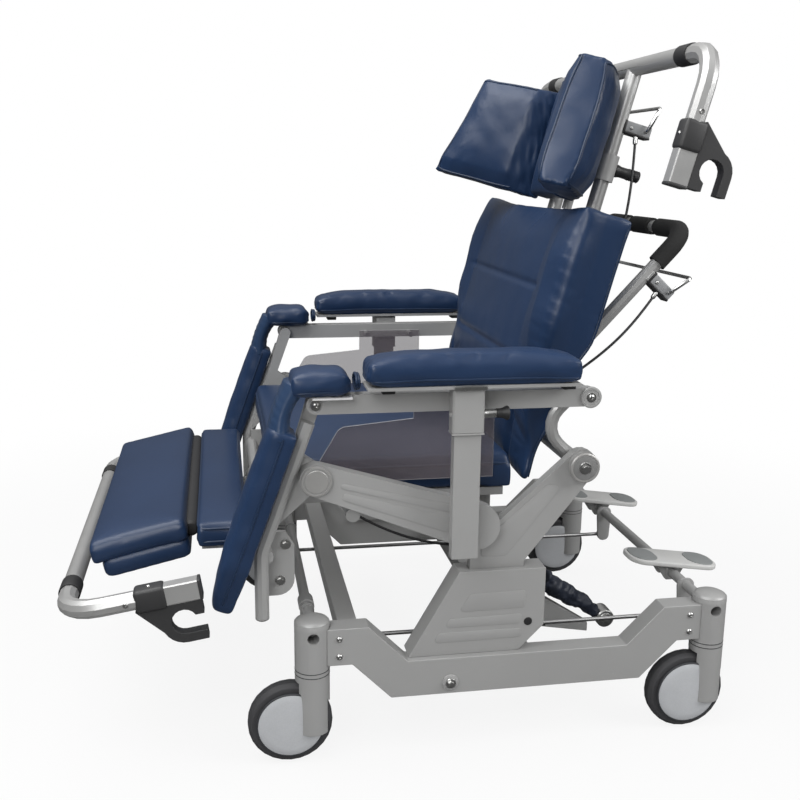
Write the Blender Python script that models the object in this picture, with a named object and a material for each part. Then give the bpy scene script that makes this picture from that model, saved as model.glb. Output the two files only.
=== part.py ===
"""Bariatric patient transfer chair that reclines into a flat stretcher.

Metres, +Z up. X points to the sitter's left, Y backwards. Positions are measured from the point on the
floor midway between the four caster posts, and one empty shifts the whole chair so that its origin is the
bottom centre of its box.
"""
import math

import bmesh
import bpy
from mathutils import Matrix, Vector

# General clearances
GAP = 0.0003                # between pieces that touch
RUN = 0.0005                # radial clearance of a pin in its bore
WELD = 0.002                # how far a welded piece enters its neighbour

# Casters
TRACK = 0.764               # between the left and right swivel axes
WHEELBASE = 0.746           # between the front and rear swivel axes
WHEEL_DIAMETER = 0.150
WHEEL_WIDTH = 0.032
WHEEL_SIDE_GAP = 0.0015
CASTER_TRAIL = 0.040
AXLE_DIAMETER = 0.012
POST_DIAMETER = 0.062
POST_TOP = 0.262
SWIVEL_HEIGHT = 0.165
FORK_BOTTOM = 0.055
COVER_DIAMETER = 0.112
COVER_THICKNESS = 0.004

# Base frame
RAIL_WIDTH = 0.040
RAIL_DEPTH = 0.069
RAIL_HEIGHT = 0.1465        # middle line of the dropped stretch
RAIL_RISE = 0.070           # how far the ends stand above it
RAIL_KNEE = 0.205           # half of the dropped stretch, along its top
BASE_TUBE = 0.036
FRONT_TUBE_Y = -0.305
MIDDLE_TUBE_Y = 0.020

# Lift towers and the plates that slide in them
SIDE_X = 0.366
PLATE_THICKNESS = 0.020
TOWER_WIDTH = 0.046
TOWER_TOP = 0.338
TOWER_FRONT_FOOT = -0.202
TOWER_FRONT_TOP = -0.112
TOWER_REAR = 0.048
TOWER_REAR_STEP = 0.046     # height of the slanted cut at the rear foot
TOWER_FLOOR = 0.022
BLADE_FRONT = -0.090
BLADE_REAR = 0.010
BLADE_CLEARANCE = 0.0008

# Booted lift pump
PUMP_X = 0.150
PUMP_FRONT = (0.120, 0.212)
PUMP_REAR = (0.250, 0.128)
PUMP_DIAMETER = 0.056
PUMP_RIBS = 7
PUMP_TAPER = 0.45           # how much narrower the rear end is

# Central brake
SHAFT_DIAMETER = 0.020
SHAFT_HEIGHT = 0.240
PEDAL_X = 0.200
PEDAL_LENGTH = 0.190
PEDAL_WIDTH = 0.080
PEDAL_THICKNESS = 0.010
PEDAL_BEVEL = 0.003
PEDAL_RISE = 0.016          # underside of the pedal above the shaft's axis
PEDAL_TILT = math.radians(8)
ROD_X_LEFT = 0.285
ROD_X_RIGHT = 0.150
ROD_DIAMETER = 0.008
ROD_DROP = 0.056            # link pins below the shaft's axis
ROD_EYE = 0.026
LEVER_THICKNESS = 0.006
LINK_PIN = 0.008

# Recline linkage: a rectangle of four pivots seen from the side
LINK_FRONT = -0.365
LINK_REAR = 0.110
LINK_LOW = 0.522
LINK_RISE = 0.130
LINK_PIN_DIAMETER = 0.013
KNEE_PIN_DIAMETER = 0.020
BACK_PIN_DIAMETER = 0.016
KNEE_CAP = 0.056
BACK_CAP = 0.058
CAP_THICKNESS = 0.009

# Seat
BEAM_THICKNESS = 0.024
BEAM_REAR_RADIUS = 0.042
BEAM_REAR = (-0.085, 0.425)
SEAT_TUBE = 0.025
SEAT_TUBE_FRONT = (-0.300, 0.450)
SEAT_TUBE_REAR = (-0.040, 0.372)
PAN_BOTTOM = 0.458
PAN_THICKNESS = 0.015
PAN_HALF_WIDTH = 0.325
PAN_STAND_X = 0.280
SEAT_HALF_WIDTH = 0.332
SEAT_FRONT = -0.440
SEAT_REAR = -0.004
SEAT_TOP = 0.545
CABLE_DIAMETER = 0.005
SEAT_CABLE_X = 0.300
SEAT_CABLE_SAG = 0.026
UPPER_CABLE_BOW = 0.045
LOWER_CABLE_BOW = 0.012
LOWER_CABLE_SHIFT = 0.060   # lower cable's foot, outward from its handle's side

# Arms
ARM_OFFSET = 0.024          # arm bar's line, outward from the side plate's
ARM_BAR_HEIGHT = 0.032
ARM_BAR_THICKNESS = 0.025
POST_STAND = 0.043          # outward from the bar's line: the post, the pads, the bolsters
POST_Y = -0.117
ARM_POST_WIDTH = 0.022
ARM_POST_DEPTH = 0.046
ARM_POST_BOTTOM = 0.385
SLEEVE_WALL = 0.004
SLEEVE_BELOW = 0.032        # sleeve's reach below and above its plunger
SLEEVE_ABOVE = 0.046
PAD_STAND = 0.034
PAD_WIDTH = 0.086
PAD_FRONT = -0.292
PAD_REAR = 0.078
PAD_HEIGHT = 0.050
PAD_PLATE_THICKNESS = 0.006
FRONT_PAD_WIDTH = 0.084
FRONT_PAD_FRONT = -0.410
FRONT_PAD_HEIGHT = 0.048
PLUNGER_DIAMETER = 0.010
PLUNGER_DROP = 0.015        # plunger below the bar's line
PLUNGER_NECK = 0.023
PLUNGER_KNOB = 0.023
SCREEN_INSET = 0.0445       # inward from the bar's line: the screens, the struts
SCREEN_THICKNESS = 0.004
SCREEN_FRONT = -0.378
SCREEN_REAR = -0.045
SCREEN_BOTTOM = 0.500
SCREEN_SHOULDER = 0.600     # top edge of the front stretch, under the bar
SCREEN_STEP = -0.190        # where the top edge steps up to the bar
SCREEN_STUD = 0.010

# Legs
STRUT_INSET = 0.004
STRUT_DIAMETER = 0.025
STRUT_LEAN = math.radians(20)
STRUT_START = 0.034         # along the strut, from the front arm pivot
STRUT_BEND = 0.273
KNEE_PLATE_START = 0.093    # along the strut, where the knee plate's upper edge meets it
STRUT_BOTTOM = 0.275
LEG_PIVOT = (-0.450, 0.385)
LEG_TUBE = 0.025
PIVOT_PLATE_X = 0.354
PIVOT_PLATE_THICKNESS = 0.006
PIVOT_PLATE_WIDTH = 0.050
PIVOT_PLATE_HEIGHT = 0.118
BOLSTER_STAND = 0.010
BOLSTER_WIDTH = 0.076
BOLSTER_START = 0.052
BOLSTER_END = 0.378
BOLSTER_DEPTH = 0.052

# Leg rest and foot bar
REST_TUBE = 0.022
REST_TUBE_X = 0.088
REST_HUB = 0.040
REST_HUB_WIDTH = 0.034
REST_PLATE = 0.008
CALF_HALF_WIDTH = 0.340
CALF_FRONT = -0.566
CALF_REAR = -0.479
CALF_TOP = 0.439
CALF_DEPTH = 0.050
FOOT_HALF_WIDTH = 0.338
FOOT_REAR = (-0.588, 0.449)
FOOT_LENGTH = 0.160
FOOT_SLOPE = math.radians(13)
FOOT_DEPTH = 0.048
FOOT_BAR = (-0.779, 0.328)

# Transfer arms at the head and foot bars
BAR_DIAMETER = 0.032
BAR_HALF_LENGTH = 0.3375
SPIGOT_DIAMETER = 0.020
SPIGOT_LENGTH = 0.026
ARM_STAND = 0.104           # an arm's line from the end of its bar
ARM_BEND = 0.060
ROUND_REACH = 0.150         # round stretch of an arm, from the bar's axis
ARM_REACH = 0.221
ARM_END_WIDTH = 0.026
ARM_END_DEPTH = 0.034
HOOK_WIDTH = 0.022
HOOK_MOUTH = 0.042
HOOK_WALL = 0.016
HOOK_BACK = 0.012           # between the arm and the mouth
HOOK_INSET = 0.034          # mouth's centre from the arm's end
HOOK_LIP = 0.008            # how far the block beside the mouth closes it
FOOT_ARM_RISE = math.radians(9)

# Back
BACK_LEAN = math.radians(15)
BACK_TUBE = 0.028
ARM_CROSS_TUBE = 0.025
UPRIGHT_X = 0.115
UPRIGHT_DIAMETER = 0.029
UPRIGHT_OFFSET = 0.022      # in front of the back pivot's plane
HEAD_BAR_REACH = 0.722      # along the back, from the back pivot
SIDE_BRACKET_X = 0.340
SIDE_BRACKET_TUBE = 0.022
SIDE_BRACKET_REACH = 0.067
PUSH_HALF_WIDTH = 0.200
PUSH_TUBE = 0.025
PUSH_BAR = (0.362, 0.924)
PUSH_BEND = 0.045
CUSHION_HALF_WIDTH = 0.326
CUSHION_START = -0.066
CUSHION_TUCK = 0.046        # below this the cushion thins to a tongue behind the seat
TONGUE_BACK = 0.064
TONGUE_FRONT = 0.084
CUSHION_END = 0.438
CUSHION_BACK = 0.047
CUSHION_FRONT = 0.120
LOBE_DEPTH = 0.030

# Release handles
BLOCK_WIDTH = 0.026
BLOCK_HEIGHT = 0.022
BLOCK_LENGTH = 0.062
UPPER_BLOCK_REACH = 0.612
LOWER_BLOCK_SHARE = 0.70    # along the push bar's arm
BAIL_WIRE = 0.007
BAIL_SIDE = 0.010           # leg of a bail beside its block
BAIL_REACH = 0.050

# Headrest
REST_SLEEVE = 0.041
REST_SLEEVE_START = 0.505
REST_SLEEVE_LENGTH = 0.050
BRACKET_THICKNESS = 0.006
STEM_DIAMETER = 0.020
STEM_START = 0.440
HEAD_HALF_WIDTH = 0.084
HEAD_START = 0.452
HEAD_END = 0.698
HEAD_DEPTH = 0.062
WING_PIN = 0.012
WING_PIN_STAND = 0.016      # pin's axis in front of the bracket's board
WING_PIN_GAP = 0.004        # between the pin and the middle pad
WING_LENGTH = 0.238
WING_DEPTH = 0.098
WING_LEAD = 0.12            # how much fuller a wing is in front, as a share of its half depth
WING_LOWER_TOP = {1: 0.0, -1: 0.028}
WING_SAG = {1: 0.0, -1: 0.004}
WING_TAPER = 0.13
WING_ANGLE = {1: math.radians(27), -1: math.radians(54)}
KNOB_DIAMETER = 0.020
KNOB_LENGTH = 0.050

# Values that follow from the sizes above
HALF_TRACK = TRACK / 2
HALF_BASE = WHEELBASE / 2
WHEEL_RADIUS = WHEEL_DIAMETER / 2
POST_RADIUS = POST_DIAMETER / 2
RAIL_TOP = RAIL_HEIGHT + RAIL_DEPTH / 2
KNEE = Vector((0, LINK_FRONT, LINK_LOW))
ARM_FRONT = Vector((0, LINK_FRONT, LINK_LOW + LINK_RISE))
BACK = Vector((0, LINK_REAR, LINK_LOW))
ARM_REAR = Vector((0, LINK_REAR, LINK_LOW + LINK_RISE))
UP_BACK = Vector((0, math.sin(BACK_LEAN), math.cos(BACK_LEAN)))
OUT_BACK = Vector((0, -math.cos(BACK_LEAN), math.sin(BACK_LEAN)))
DOWN_STRUT = Vector((0, -math.sin(STRUT_LEAN), -math.cos(STRUT_LEAN)))
OUT_STRUT = Vector((0, -math.cos(STRUT_LEAN), math.sin(STRUT_LEAN)))
PLATE_INNER = SIDE_X - PLATE_THICKNESS / 2
PLATE_OUTER = SIDE_X + PLATE_THICKNESS / 2
BEAM_X = PLATE_OUTER + 2 * GAP + BEAM_THICKNESS / 2
ARM_X = SIDE_X + ARM_OFFSET
POST_X = ARM_X + POST_STAND
PAD_X = ARM_X + PAD_STAND
BOLSTER_X = ARM_X + BOLSTER_STAND
SCREEN_X = ARM_X - SCREEN_INSET
STRUT_X = ARM_X - STRUT_INSET
PLUNGER_HEIGHT = ARM_FRONT.z - PLUNGER_DROP
SLEEVE_BOTTOM = PLUNGER_HEIGHT - SLEEVE_BELOW
SLEEVE_TOP = PLUNGER_HEIGHT + SLEEVE_ABOVE
PAD_BOTTOM = SLEEVE_TOP + GAP + PAD_PLATE_THICKNESS
ROD_X = {1: ROD_X_LEFT, -1: ROD_X_RIGHT}
ARM_REACH_X = BAR_HALF_LENGTH + ARM_STAND
PEDAL_TOP = PEDAL_RISE + PEDAL_THICKNESS
CHAIR_FRONT = FOOT_BAR[0] - BAR_DIAMETER / 2
CHAIR_REAR = (HALF_BASE + PEDAL_LENGTH / 2 * math.cos(PEDAL_TILT)
              + (PEDAL_TOP - PEDAL_BEVEL) * math.sin(PEDAL_TILT))
CENTRE_SHIFT = -(CHAIR_FRONT + CHAIR_REAR) / 2

SIDES = {"left": 1, "right": -1}
ENDS = {"front": -1, "rear": 1}
FINISH = {
    "frame": ((0.36, 0.36, 0.35), 0.42, 0.55),
    "caster": ((0.33, 0.33, 0.33), 0.45, 0.40),
    "tyre": ((0.045, 0.045, 0.050), 0.70, 0.0),
    "fabric": ((0.030, 0.055, 0.115), 0.50, 0.0),
    "black": ((0.020, 0.020, 0.022), 0.50, 0.0),
    "chrome": ((0.70, 0.70, 0.70), 0.20, 1.0),
    "screen": ((0.30, 0.31, 0.33), 0.10, 0.0),
    "pedal": ((0.55, 0.55, 0.55), 0.55, 0.0),
}


def clear_scene():
    for item in list(bpy.data.objects):
        bpy.data.objects.remove(item)


def new_collection(name):
    group = bpy.data.collections.new(name)
    bpy.context.scene.collection.children.link(group)
    return group


def new_material(name):
    colour, roughness, metallic = FINISH[name]
    material = bpy.data.materials.new(name)
    material.use_nodes = True
    shader = material.node_tree.nodes["Principled BSDF"]
    shader.inputs["Base Color"].default_value = (*colour, 1)
    shader.inputs["Roughness"].default_value = roughness
    shader.inputs["Metallic"].default_value = metallic
    return material


clear_scene()
CHAIR = new_collection("transfer_chair")
MATERIALS = {name: new_material(name) for name in FINISH}
ROOT = bpy.data.objects.new("chair_origin", None)
ROOT.location = (0, CENTRE_SHIFT, 0)
CHAIR.objects.link(ROOT)
PIVOTS = {}


def pivot(name, place):
    """An empty on a joint's axis, which the pieces of that body hang on."""
    empty = bpy.data.objects.new("pivot_" + name, None)
    empty.location = place
    empty.parent = ROOT
    CHAIR.objects.link(empty)
    PIVOTS[name] = empty


# Solids from primitives, curves and Boolean modifiers

def from_bmesh(bm):
    mesh = bpy.data.meshes.new("solid")
    bm.to_mesh(mesh)
    bm.free()
    solid = bpy.data.objects.new("solid", mesh)
    CHAIR.objects.link(solid)
    return solid


def cylinder(start, end, diameter, sides=20):
    start, end = Vector(start), Vector(end)
    turn = (end - start).to_track_quat("Z", "Y").to_matrix().to_4x4()
    bm = bmesh.new()
    bmesh.ops.create_cone(bm, cap_ends=True, segments=sides, radius1=diameter / 2, radius2=diameter / 2,
                          depth=(end - start).length)
    bmesh.ops.transform(bm, matrix=Matrix.Translation((start + end) / 2) @ turn, verts=bm.verts)
    return from_bmesh(bm)


def box(low, high, bevel=0.0):
    low, high = Vector(low), Vector(high)
    size = high - low
    bm = bmesh.new()
    bmesh.ops.create_cube(bm, size=1)
    bmesh.ops.scale(bm, vec=size, verts=bm.verts)
    bmesh.ops.translate(bm, vec=(low + high) / 2, verts=bm.verts)
    if bevel:
        bmesh.ops.bevel(bm, geom=bm.edges, offset=bevel, segments=1, profile=0.5, affect="EDGES")
    return from_bmesh(bm)


def from_curve(curve):
    """The solid of a curve, with its loose caps welded on."""
    holder = bpy.data.objects.new("curve", curve)
    CHAIR.objects.link(holder)
    bpy.context.view_layer.update()
    graph = bpy.context.evaluated_depsgraph_get()
    mesh = bpy.data.meshes.new_from_object(holder.evaluated_get(graph))
    bpy.data.objects.remove(holder)
    bm = bmesh.new()
    bm.from_mesh(mesh)
    bmesh.ops.remove_doubles(bm, verts=bm.verts, dist=0.00002)
    bmesh.ops.recalc_face_normals(bm, faces=bm.faces)
    return from_bmesh(bm)


def tube(points, diameter, roundness=3):
    curve = bpy.data.curves.new("tube", "CURVE")
    curve.dimensions = "3D"
    curve.bevel_depth = diameter / 2
    curve.bevel_resolution = roundness
    curve.use_fill_caps = True
    spline = curve.splines.new("POLY")
    spline.points.add(len(points) - 1)
    for knot, place in zip(spline.points, points):
        knot.co = (*place, 1)
    return from_curve(curve)


def plate(outline, x, thickness):
    """A flat outline of (y, z) points, as thick as it says about the plane at x."""
    curve = bpy.data.curves.new("plate", "CURVE")
    curve.dimensions = "2D"
    curve.fill_mode = "BOTH"
    curve.extrude = thickness / 2
    spline = curve.splines.new("POLY")
    spline.points.add(len(outline) - 1)
    for knot, (y, z) in zip(spline.points, outline):
        knot.co = (y, z, 0, 1)
    spline.use_cyclic_u = True
    solid = from_curve(curve)
    bm = bmesh.new()
    bm.from_mesh(solid.data)
    bmesh.ops.dissolve_limit(bm, angle_limit=0.0005, verts=bm.verts, edges=bm.edges)
    bm.to_mesh(solid.data)
    bm.free()
    stand = Matrix(((0, 0, 1, x), (1, 0, 0, 0), (0, 1, 0, 0), (0, 0, 0, 1)))
    solid.data.transform(stand)
    return solid


def arc(centre, radius, start, end, steps=8):
    """Points (y, z) of an arc; angles in degrees, from +Y towards +Z."""
    angles = [math.radians(start + (end - start) * i / steps) for i in range(steps + 1)]
    return [(centre[0] + radius * math.cos(a), centre[1] + radius * math.sin(a)) for a in angles]


def rounded(points, radius, steps=5):
    """A path whose inner corners are arcs of the given radius."""
    points = [Vector(p) for p in points]
    path = [points[0]]
    for before, corner, after in zip(points, points[1:], points[2:]):
        to_before = (before - corner).normalized()
        to_after = (after - corner).normalized()
        half = to_before.angle(to_after) / 2
        reach = radius / math.tan(half)
        centre = corner + (to_before + to_after).normalized() * radius / math.sin(half)
        first = corner + to_before * reach - centre
        last = corner + to_after * reach - centre
        sweep = first.angle(last)
        for i in range(steps + 1):
            share = i / steps
            blend = (first * math.sin((1 - share) * sweep) + last * math.sin(share * sweep)) / math.sin(sweep)
            path.append(centre + blend)
    path.append(points[-1])
    return path


def combine(solid, operation, others):
    for other in others:
        modifier = solid.modifiers.new(operation, "BOOLEAN")
        modifier.operation = operation
        modifier.object = other
        modifier.solver = "EXACT"
    bpy.context.view_layer.update()
    graph = bpy.context.evaluated_depsgraph_get()
    mesh = bpy.data.meshes.new_from_object(solid.evaluated_get(graph))
    for other in [solid, *others]:
        bpy.data.objects.remove(other)
    bm = bmesh.new()
    bm.from_mesh(mesh)
    bmesh.ops.remove_doubles(bm, verts=bm.verts, dist=0.000005)
    return from_bmesh(bm)


def fuse(solid, *others):
    return combine(solid, "UNION", others)


def cut(solid, *others):
    return combine(solid, "DIFFERENCE", others)


def piece(name, solid, body, finish):
    """Names a solid as a node and hangs it on its body's pivot."""
    place = PIVOTS[body].location
    solid.data.transform(Matrix.Translation(-place))
    solid.parent = PIVOTS[body]
    solid.name = name
    solid.data.name = name
    solid.data.materials.clear()
    solid.data.materials.append(MATERIALS[finish])
    solid.data.shade_smooth()
    solid.data.set_sharp_from_angle(angle=math.radians(35))
    return solid


def cushion(size, cuts, shape):
    """A box of the given size whose points shape(p, q, r) moves, with p, q and r from -1 to 1."""
    bm = bmesh.new()
    bmesh.ops.create_cube(bm, size=2)
    for axis, count in enumerate(cuts):
        edges = [e for e in bm.edges if abs((e.verts[0].co - e.verts[1].co)[axis]) > 1.9]
        bmesh.ops.subdivide_edges(bm, edges=edges, cuts=count, use_grid_fill=True)
    half = Vector(size) / 2
    for vert in bm.verts:
        p, q, r = shape(*vert.co)
        vert.co = Vector((p * half.x, q * half.y, r * half.z))
    bmesh.ops.recalc_face_normals(bm, faces=bm.faces)
    return from_bmesh(bm)


def pillow(edge, draw, flat=True):
    """The shape of a stuffed pad: a crown on top, drawn-in sides, and a flat underside if it rests on a plate."""
    def shape(p, q, r):
        crown = edge + (1 - edge) * (1 - abs(p) ** 6) * (1 - abs(q) ** 6)
        height = (crown + 1) * (r + 1) / 2 - 1 if flat else crown * r
        side = 1 - 0.03 * max(r, 0 if flat else -r) ** 2
        return (p * (1 - draw * (1 - q * q)) * side, q * (1 - draw * (1 - p * p)) * side, height)
    return shape


def frame_matrix(origin, across, along, out):
    turn = Matrix((across, along, out)).transposed().to_4x4()
    return Matrix.Translation(origin) @ turn


def back_point(reach, out, x=0.0):
    """A point by its distance along the back from the back pivot, and in front of the pivot's plane."""
    return BACK + UP_BACK * reach + OUT_BACK * out + Vector((x, 0, 0))


def strut_point(reach, out, x=0.0):
    """A point by its distance down the strut from the front arm pivot, and in front of the strut's axis."""
    return ARM_FRONT + DOWN_STRUT * reach + OUT_STRUT * out + Vector((x, 0, 0))


# Base frame: two rails whose ends step up to the caster posts, two cross tubes and the pump's cradle

def rail_outline():
    mitre = RAIL_DEPTH * math.tan(math.pi / 8)
    low_top = RAIL_TOP
    low_bottom = RAIL_HEIGHT - RAIL_DEPTH / 2
    half = [
        (RAIL_KNEE, low_top),
        (RAIL_KNEE + RAIL_RISE, low_top + RAIL_RISE),
        (HALF_BASE, low_top + RAIL_RISE),
        (HALF_BASE, low_bottom + RAIL_RISE),
        (RAIL_KNEE + mitre + RAIL_RISE, low_bottom + RAIL_RISE),
        (RAIL_KNEE + mitre, low_bottom),
    ]
    return half + [(-y, z) for y, z in reversed(half)]


def pump_cradle():
    front, rear = Vector(PUMP_FRONT), Vector(PUMP_REAR)
    along = (rear - front).normalized()
    under = Vector((along.y, -along.x))
    drop = under * (PUMP_DIAMETER / 2 + GAP)
    inset = along * PUMP_DIAMETER / 4
    low = RAIL_HEIGHT - BASE_TUBE / 2
    seat_front = front + inset + drop
    seat_rear = rear - inset + drop
    return [(MIDDLE_TUBE_Y, low), (seat_rear.x, low - BASE_TUBE), tuple(seat_rear), tuple(seat_front),
            (MIDDLE_TUBE_Y, low + BASE_TUBE)]


def build_base():
    pivot("base", (0, 0, 0))
    inner = HALF_TRACK - RAIL_WIDTH / 2 + WELD
    half = BASE_TUBE / 2
    solids = [plate(rail_outline(), side * HALF_TRACK, RAIL_WIDTH) for side in SIDES.values()]
    for y, z in ((FRONT_TUBE_Y, RAIL_HEIGHT + RAIL_RISE), (MIDDLE_TUBE_Y, RAIL_HEIGHT)):
        solids.append(box((-inner, y - half, z - half), (inner, y + half, z + half)))
    solids.append(plate(pump_cradle(), PUMP_X, RAIL_WIDTH / 2))
    frame = fuse(*solids)
    copes = []
    for side in SIDES.values():
        for end in ENDS.values():
            foot = Vector((side * HALF_TRACK, end * HALF_BASE, 0))
            copes.append(cylinder(foot, foot + Vector((0, 0, POST_TOP + RAIL_DEPTH)), POST_DIAMETER + 2 * GAP, 24))
    piece("base_frame", cut(frame, *copes), "base", "frame")


def build_pump():
    front, rear = Vector((PUMP_X, *PUMP_FRONT)), Vector((PUMP_X, *PUMP_REAR))
    along = (rear - front).normalized()
    pitch = (rear - front).length / PUMP_RIBS
    curve = bpy.data.curves.new("boot", "CURVE")
    curve.dimensions = "3D"
    curve.bevel_depth = PUMP_DIAMETER / 2
    curve.bevel_resolution = 4
    curve.use_fill_caps = True
    spline = curve.splines.new("POLY")
    spline.points.add(2 * PUMP_RIBS)
    for i, knot in enumerate(spline.points):
        knot.co = (*(front + along * pitch * i / 2), 1)
        knot.radius = (1.0 if i % 2 else 0.92) * (1 - PUMP_TAPER * (i / (2 * PUMP_RIBS)) ** 2)
    piece("lift_pump", from_curve(curve), "base", "black")


# Casters: bolted posts, swivelling forks with round side covers, and wheels

def build_wheel(name, body, axle):
    half = WHEEL_WIDTH / 2
    bore = AXLE_DIAMETER / 2 + RUN
    hub = COVER_DIAMETER / 2
    profile = [(bore, half), (WHEEL_RADIUS - 0.006, half), (WHEEL_RADIUS, 0.5 * half)]
    profile += [(r, -a) for r, a in reversed(profile)]
    bm = bmesh.new()
    verts = [bm.verts.new((r, 0, a)) for r, a in profile]
    for first, second in zip(verts, verts[1:] + verts[:1]):
        bm.edges.new((first, second))
    bmesh.ops.spin(bm, geom=bm.verts[:] + bm.edges[:], axis=(0, 0, 1), cent=(0, 0, 0), steps=28,
                   angle=2 * math.pi, use_merge=True)
    bmesh.ops.remove_doubles(bm, verts=bm.verts, dist=0.00002)
    bmesh.ops.recalc_face_normals(bm, faces=bm.faces)
    bmesh.ops.transform(bm, matrix=Matrix.Translation(axle) @ Matrix.Rotation(math.pi / 2, 4, "Y"), verts=bm.verts)
    piece(name, from_bmesh(bm), body, "tyre")


def build_fork(name, body, swivel, axle):
    top = Vector((swivel.x, swivel.y, SWIVEL_HEIGHT - GAP))
    bottom = Vector((swivel.x, swivel.y, FORK_BOTTOM))
    across = Vector((1, 0, 0))
    inside = WHEEL_WIDTH / 2 + WHEEL_SIDE_GAP
    outside = inside + COVER_THICKNESS
    fork = fuse(cylinder(bottom, top, POST_DIAMETER, 24),
                cylinder(axle - across * outside, axle + across * outside, COVER_DIAMETER, 28))
    slot = cylinder(axle - across * inside, axle + across * inside, WHEEL_DIAMETER + 2 * COVER_THICKNESS, 28)
    axle_pin = cylinder(axle - across * (outside - WELD), axle + across * (outside - WELD), AXLE_DIAMETER, 14)
    piece(name, fuse(cut(fork, slot), axle_pin), body, "caster")


def build_casters():
    for end_name, end in ENDS.items():
        for side_name, side in SIDES.items():
            tag = end_name + "_" + side_name
            swivel = Vector((side * HALF_TRACK, end * HALF_BASE, SWIVEL_HEIGHT))
            axle = Vector((swivel.x, swivel.y - CASTER_TRAIL, WHEEL_RADIUS))
            pivot("fork_" + tag, swivel)
            pivot("wheel_" + tag, axle)
            top = Vector((swivel.x, swivel.y, POST_TOP))
            post = cylinder(swivel, top, POST_DIAMETER, 24)
            shaft = Vector((POST_DIAMETER, 0, 0))
            bore = Vector((swivel.x, swivel.y, SHAFT_HEIGHT))
            hole = cylinder(bore - shaft, bore + shaft, SHAFT_DIAMETER + 2 * RUN, 16)
            piece("caster_post_" + tag, cut(post, hole), "base", "caster")
            build_fork("caster_fork_" + tag, "fork_" + tag, swivel, axle)
            build_wheel("caster_wheel_" + tag, "wheel_" + tag, axle)


# Central brake: a shaft through each pair of posts, rocker pedals at the rear, and two link rods

def lever_parts(shaft, rod_side):
    """A lever plate down from the shaft, with the pin that a link rod's eye turns on."""
    x = rod_side * ROD_X[rod_side]
    low = shaft.z - ROD_DROP
    eye = ROD_EYE / 2
    outline = arc((shaft.y, low), eye, 180, 360) + arc((shaft.y, shaft.z), eye, 0, 180)
    pin = cylinder((x, shaft.y, low), (x + rod_side * (LEVER_THICKNESS + ROD_DIAMETER), shaft.y, low), LINK_PIN, 12)
    return [plate(outline, x, LEVER_THICKNESS), pin]


def pedal_parts(shaft, side):
    half = PEDAL_WIDTH / 2
    x = side * PEDAL_X
    deck = box((x - half, -PEDAL_LENGTH / 2, PEDAL_RISE), (x + half, PEDAL_LENGTH / 2, PEDAL_TOP), PEDAL_BEVEL)
    hub = box((x - half / 2, -SHAFT_DIAMETER, -SHAFT_DIAMETER / 2),
              (x + half / 2, SHAFT_DIAMETER, PEDAL_RISE + WELD))
    tilt = Matrix.Translation(shaft) @ Matrix.Rotation(-PEDAL_TILT, 4, "X")
    for solid in (deck, hub):
        solid.data.transform(tilt)
    return [deck, hub]


def build_brakes():
    rear = Vector((0, HALF_BASE, SHAFT_HEIGHT))
    front = Vector((0, -HALF_BASE, SHAFT_HEIGHT))
    end = Vector((HALF_TRACK, 0, 0))
    pivot("brake_rear", rear)
    pivot("brake_front", front)
    for name, shaft in (("front", front), ("rear", rear)):
        parts = [cylinder(shaft - end, shaft + end, SHAFT_DIAMETER, 16)]
        for side in SIDES.values():
            parts += lever_parts(shaft, side)
            if name == "rear":
                parts += pedal_parts(shaft, side)
        piece("brake_shaft_" + name, fuse(*parts), "brake_" + name, "frame")
    for side_name, side in SIDES.items():
        x = side * (ROD_X[side] + LEVER_THICKNESS / 2 + GAP + ROD_DIAMETER / 2)
        height = SHAFT_HEIGHT - ROD_DROP
        pivot("brake_rod_" + side_name, (x, HALF_BASE, height))
        rod = cylinder((x, -HALF_BASE, height), (x, HALF_BASE, height), ROD_DIAMETER, 10)
        eyes, bores = [], []
        reach = Vector((ROD_DIAMETER / 2, 0, 0))
        for y in (-HALF_BASE, HALF_BASE):
            centre = Vector((x, y, height))
            eyes.append(cylinder(centre - reach, centre + reach, ROD_EYE, 16))
            bores.append(cylinder(centre - 2 * reach, centre + 2 * reach, LINK_PIN + 2 * RUN, 12))
        rod = cut(fuse(rod, *eyes), *bores)
        piece("brake_rod_" + side_name, rod, "brake_rod_" + side_name, "chrome")


# Lift towers: covers on the rails, open at the top, that the seat's side plates slide in

def build_towers():
    foot = RAIL_TOP + GAP
    outline = [(TOWER_FRONT_FOOT, foot), (TOWER_REAR - TOWER_REAR_STEP, foot), (TOWER_REAR, foot + TOWER_REAR_STEP),
               (TOWER_REAR, TOWER_TOP), (TOWER_FRONT_TOP, TOWER_TOP)]
    half = PLATE_THICKNESS / 2 + BLADE_CLEARANCE
    for side_name, side in SIDES.items():
        x = side * SIDE_X
        slot = box((x - half, BLADE_FRONT - BLADE_CLEARANCE, foot + TOWER_FLOOR),
                   (x + half, BLADE_REAR + BLADE_CLEARANCE, TOWER_TOP + RAIL_DEPTH))
        tower = cut(plate(outline, x, TOWER_WIDTH), slot)
        piece("lift_tower_" + side_name, tower, "base", "frame")


# Seat: side plates with blades, tapered beams to the knee pivots, cross tubes and the cushion's pan

def side_plate_outline():
    boss = BACK_CAP / 2
    floor = RAIL_TOP + TOWER_FLOOR + 2 * GAP
    neck = TOWER_TOP + PLATE_THICKNESS / 2
    shoulder = BEAM_REAR[1]
    outline = [(BLADE_FRONT, floor), (BLADE_REAR, floor), (BLADE_REAR, neck)]
    outline += arc((LINK_REAR, LINK_LOW), boss, -35, 145)
    outline += [((BLADE_REAR + BLADE_FRONT) / 2, shoulder), (BLADE_FRONT, shoulder)]
    return outline


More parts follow.
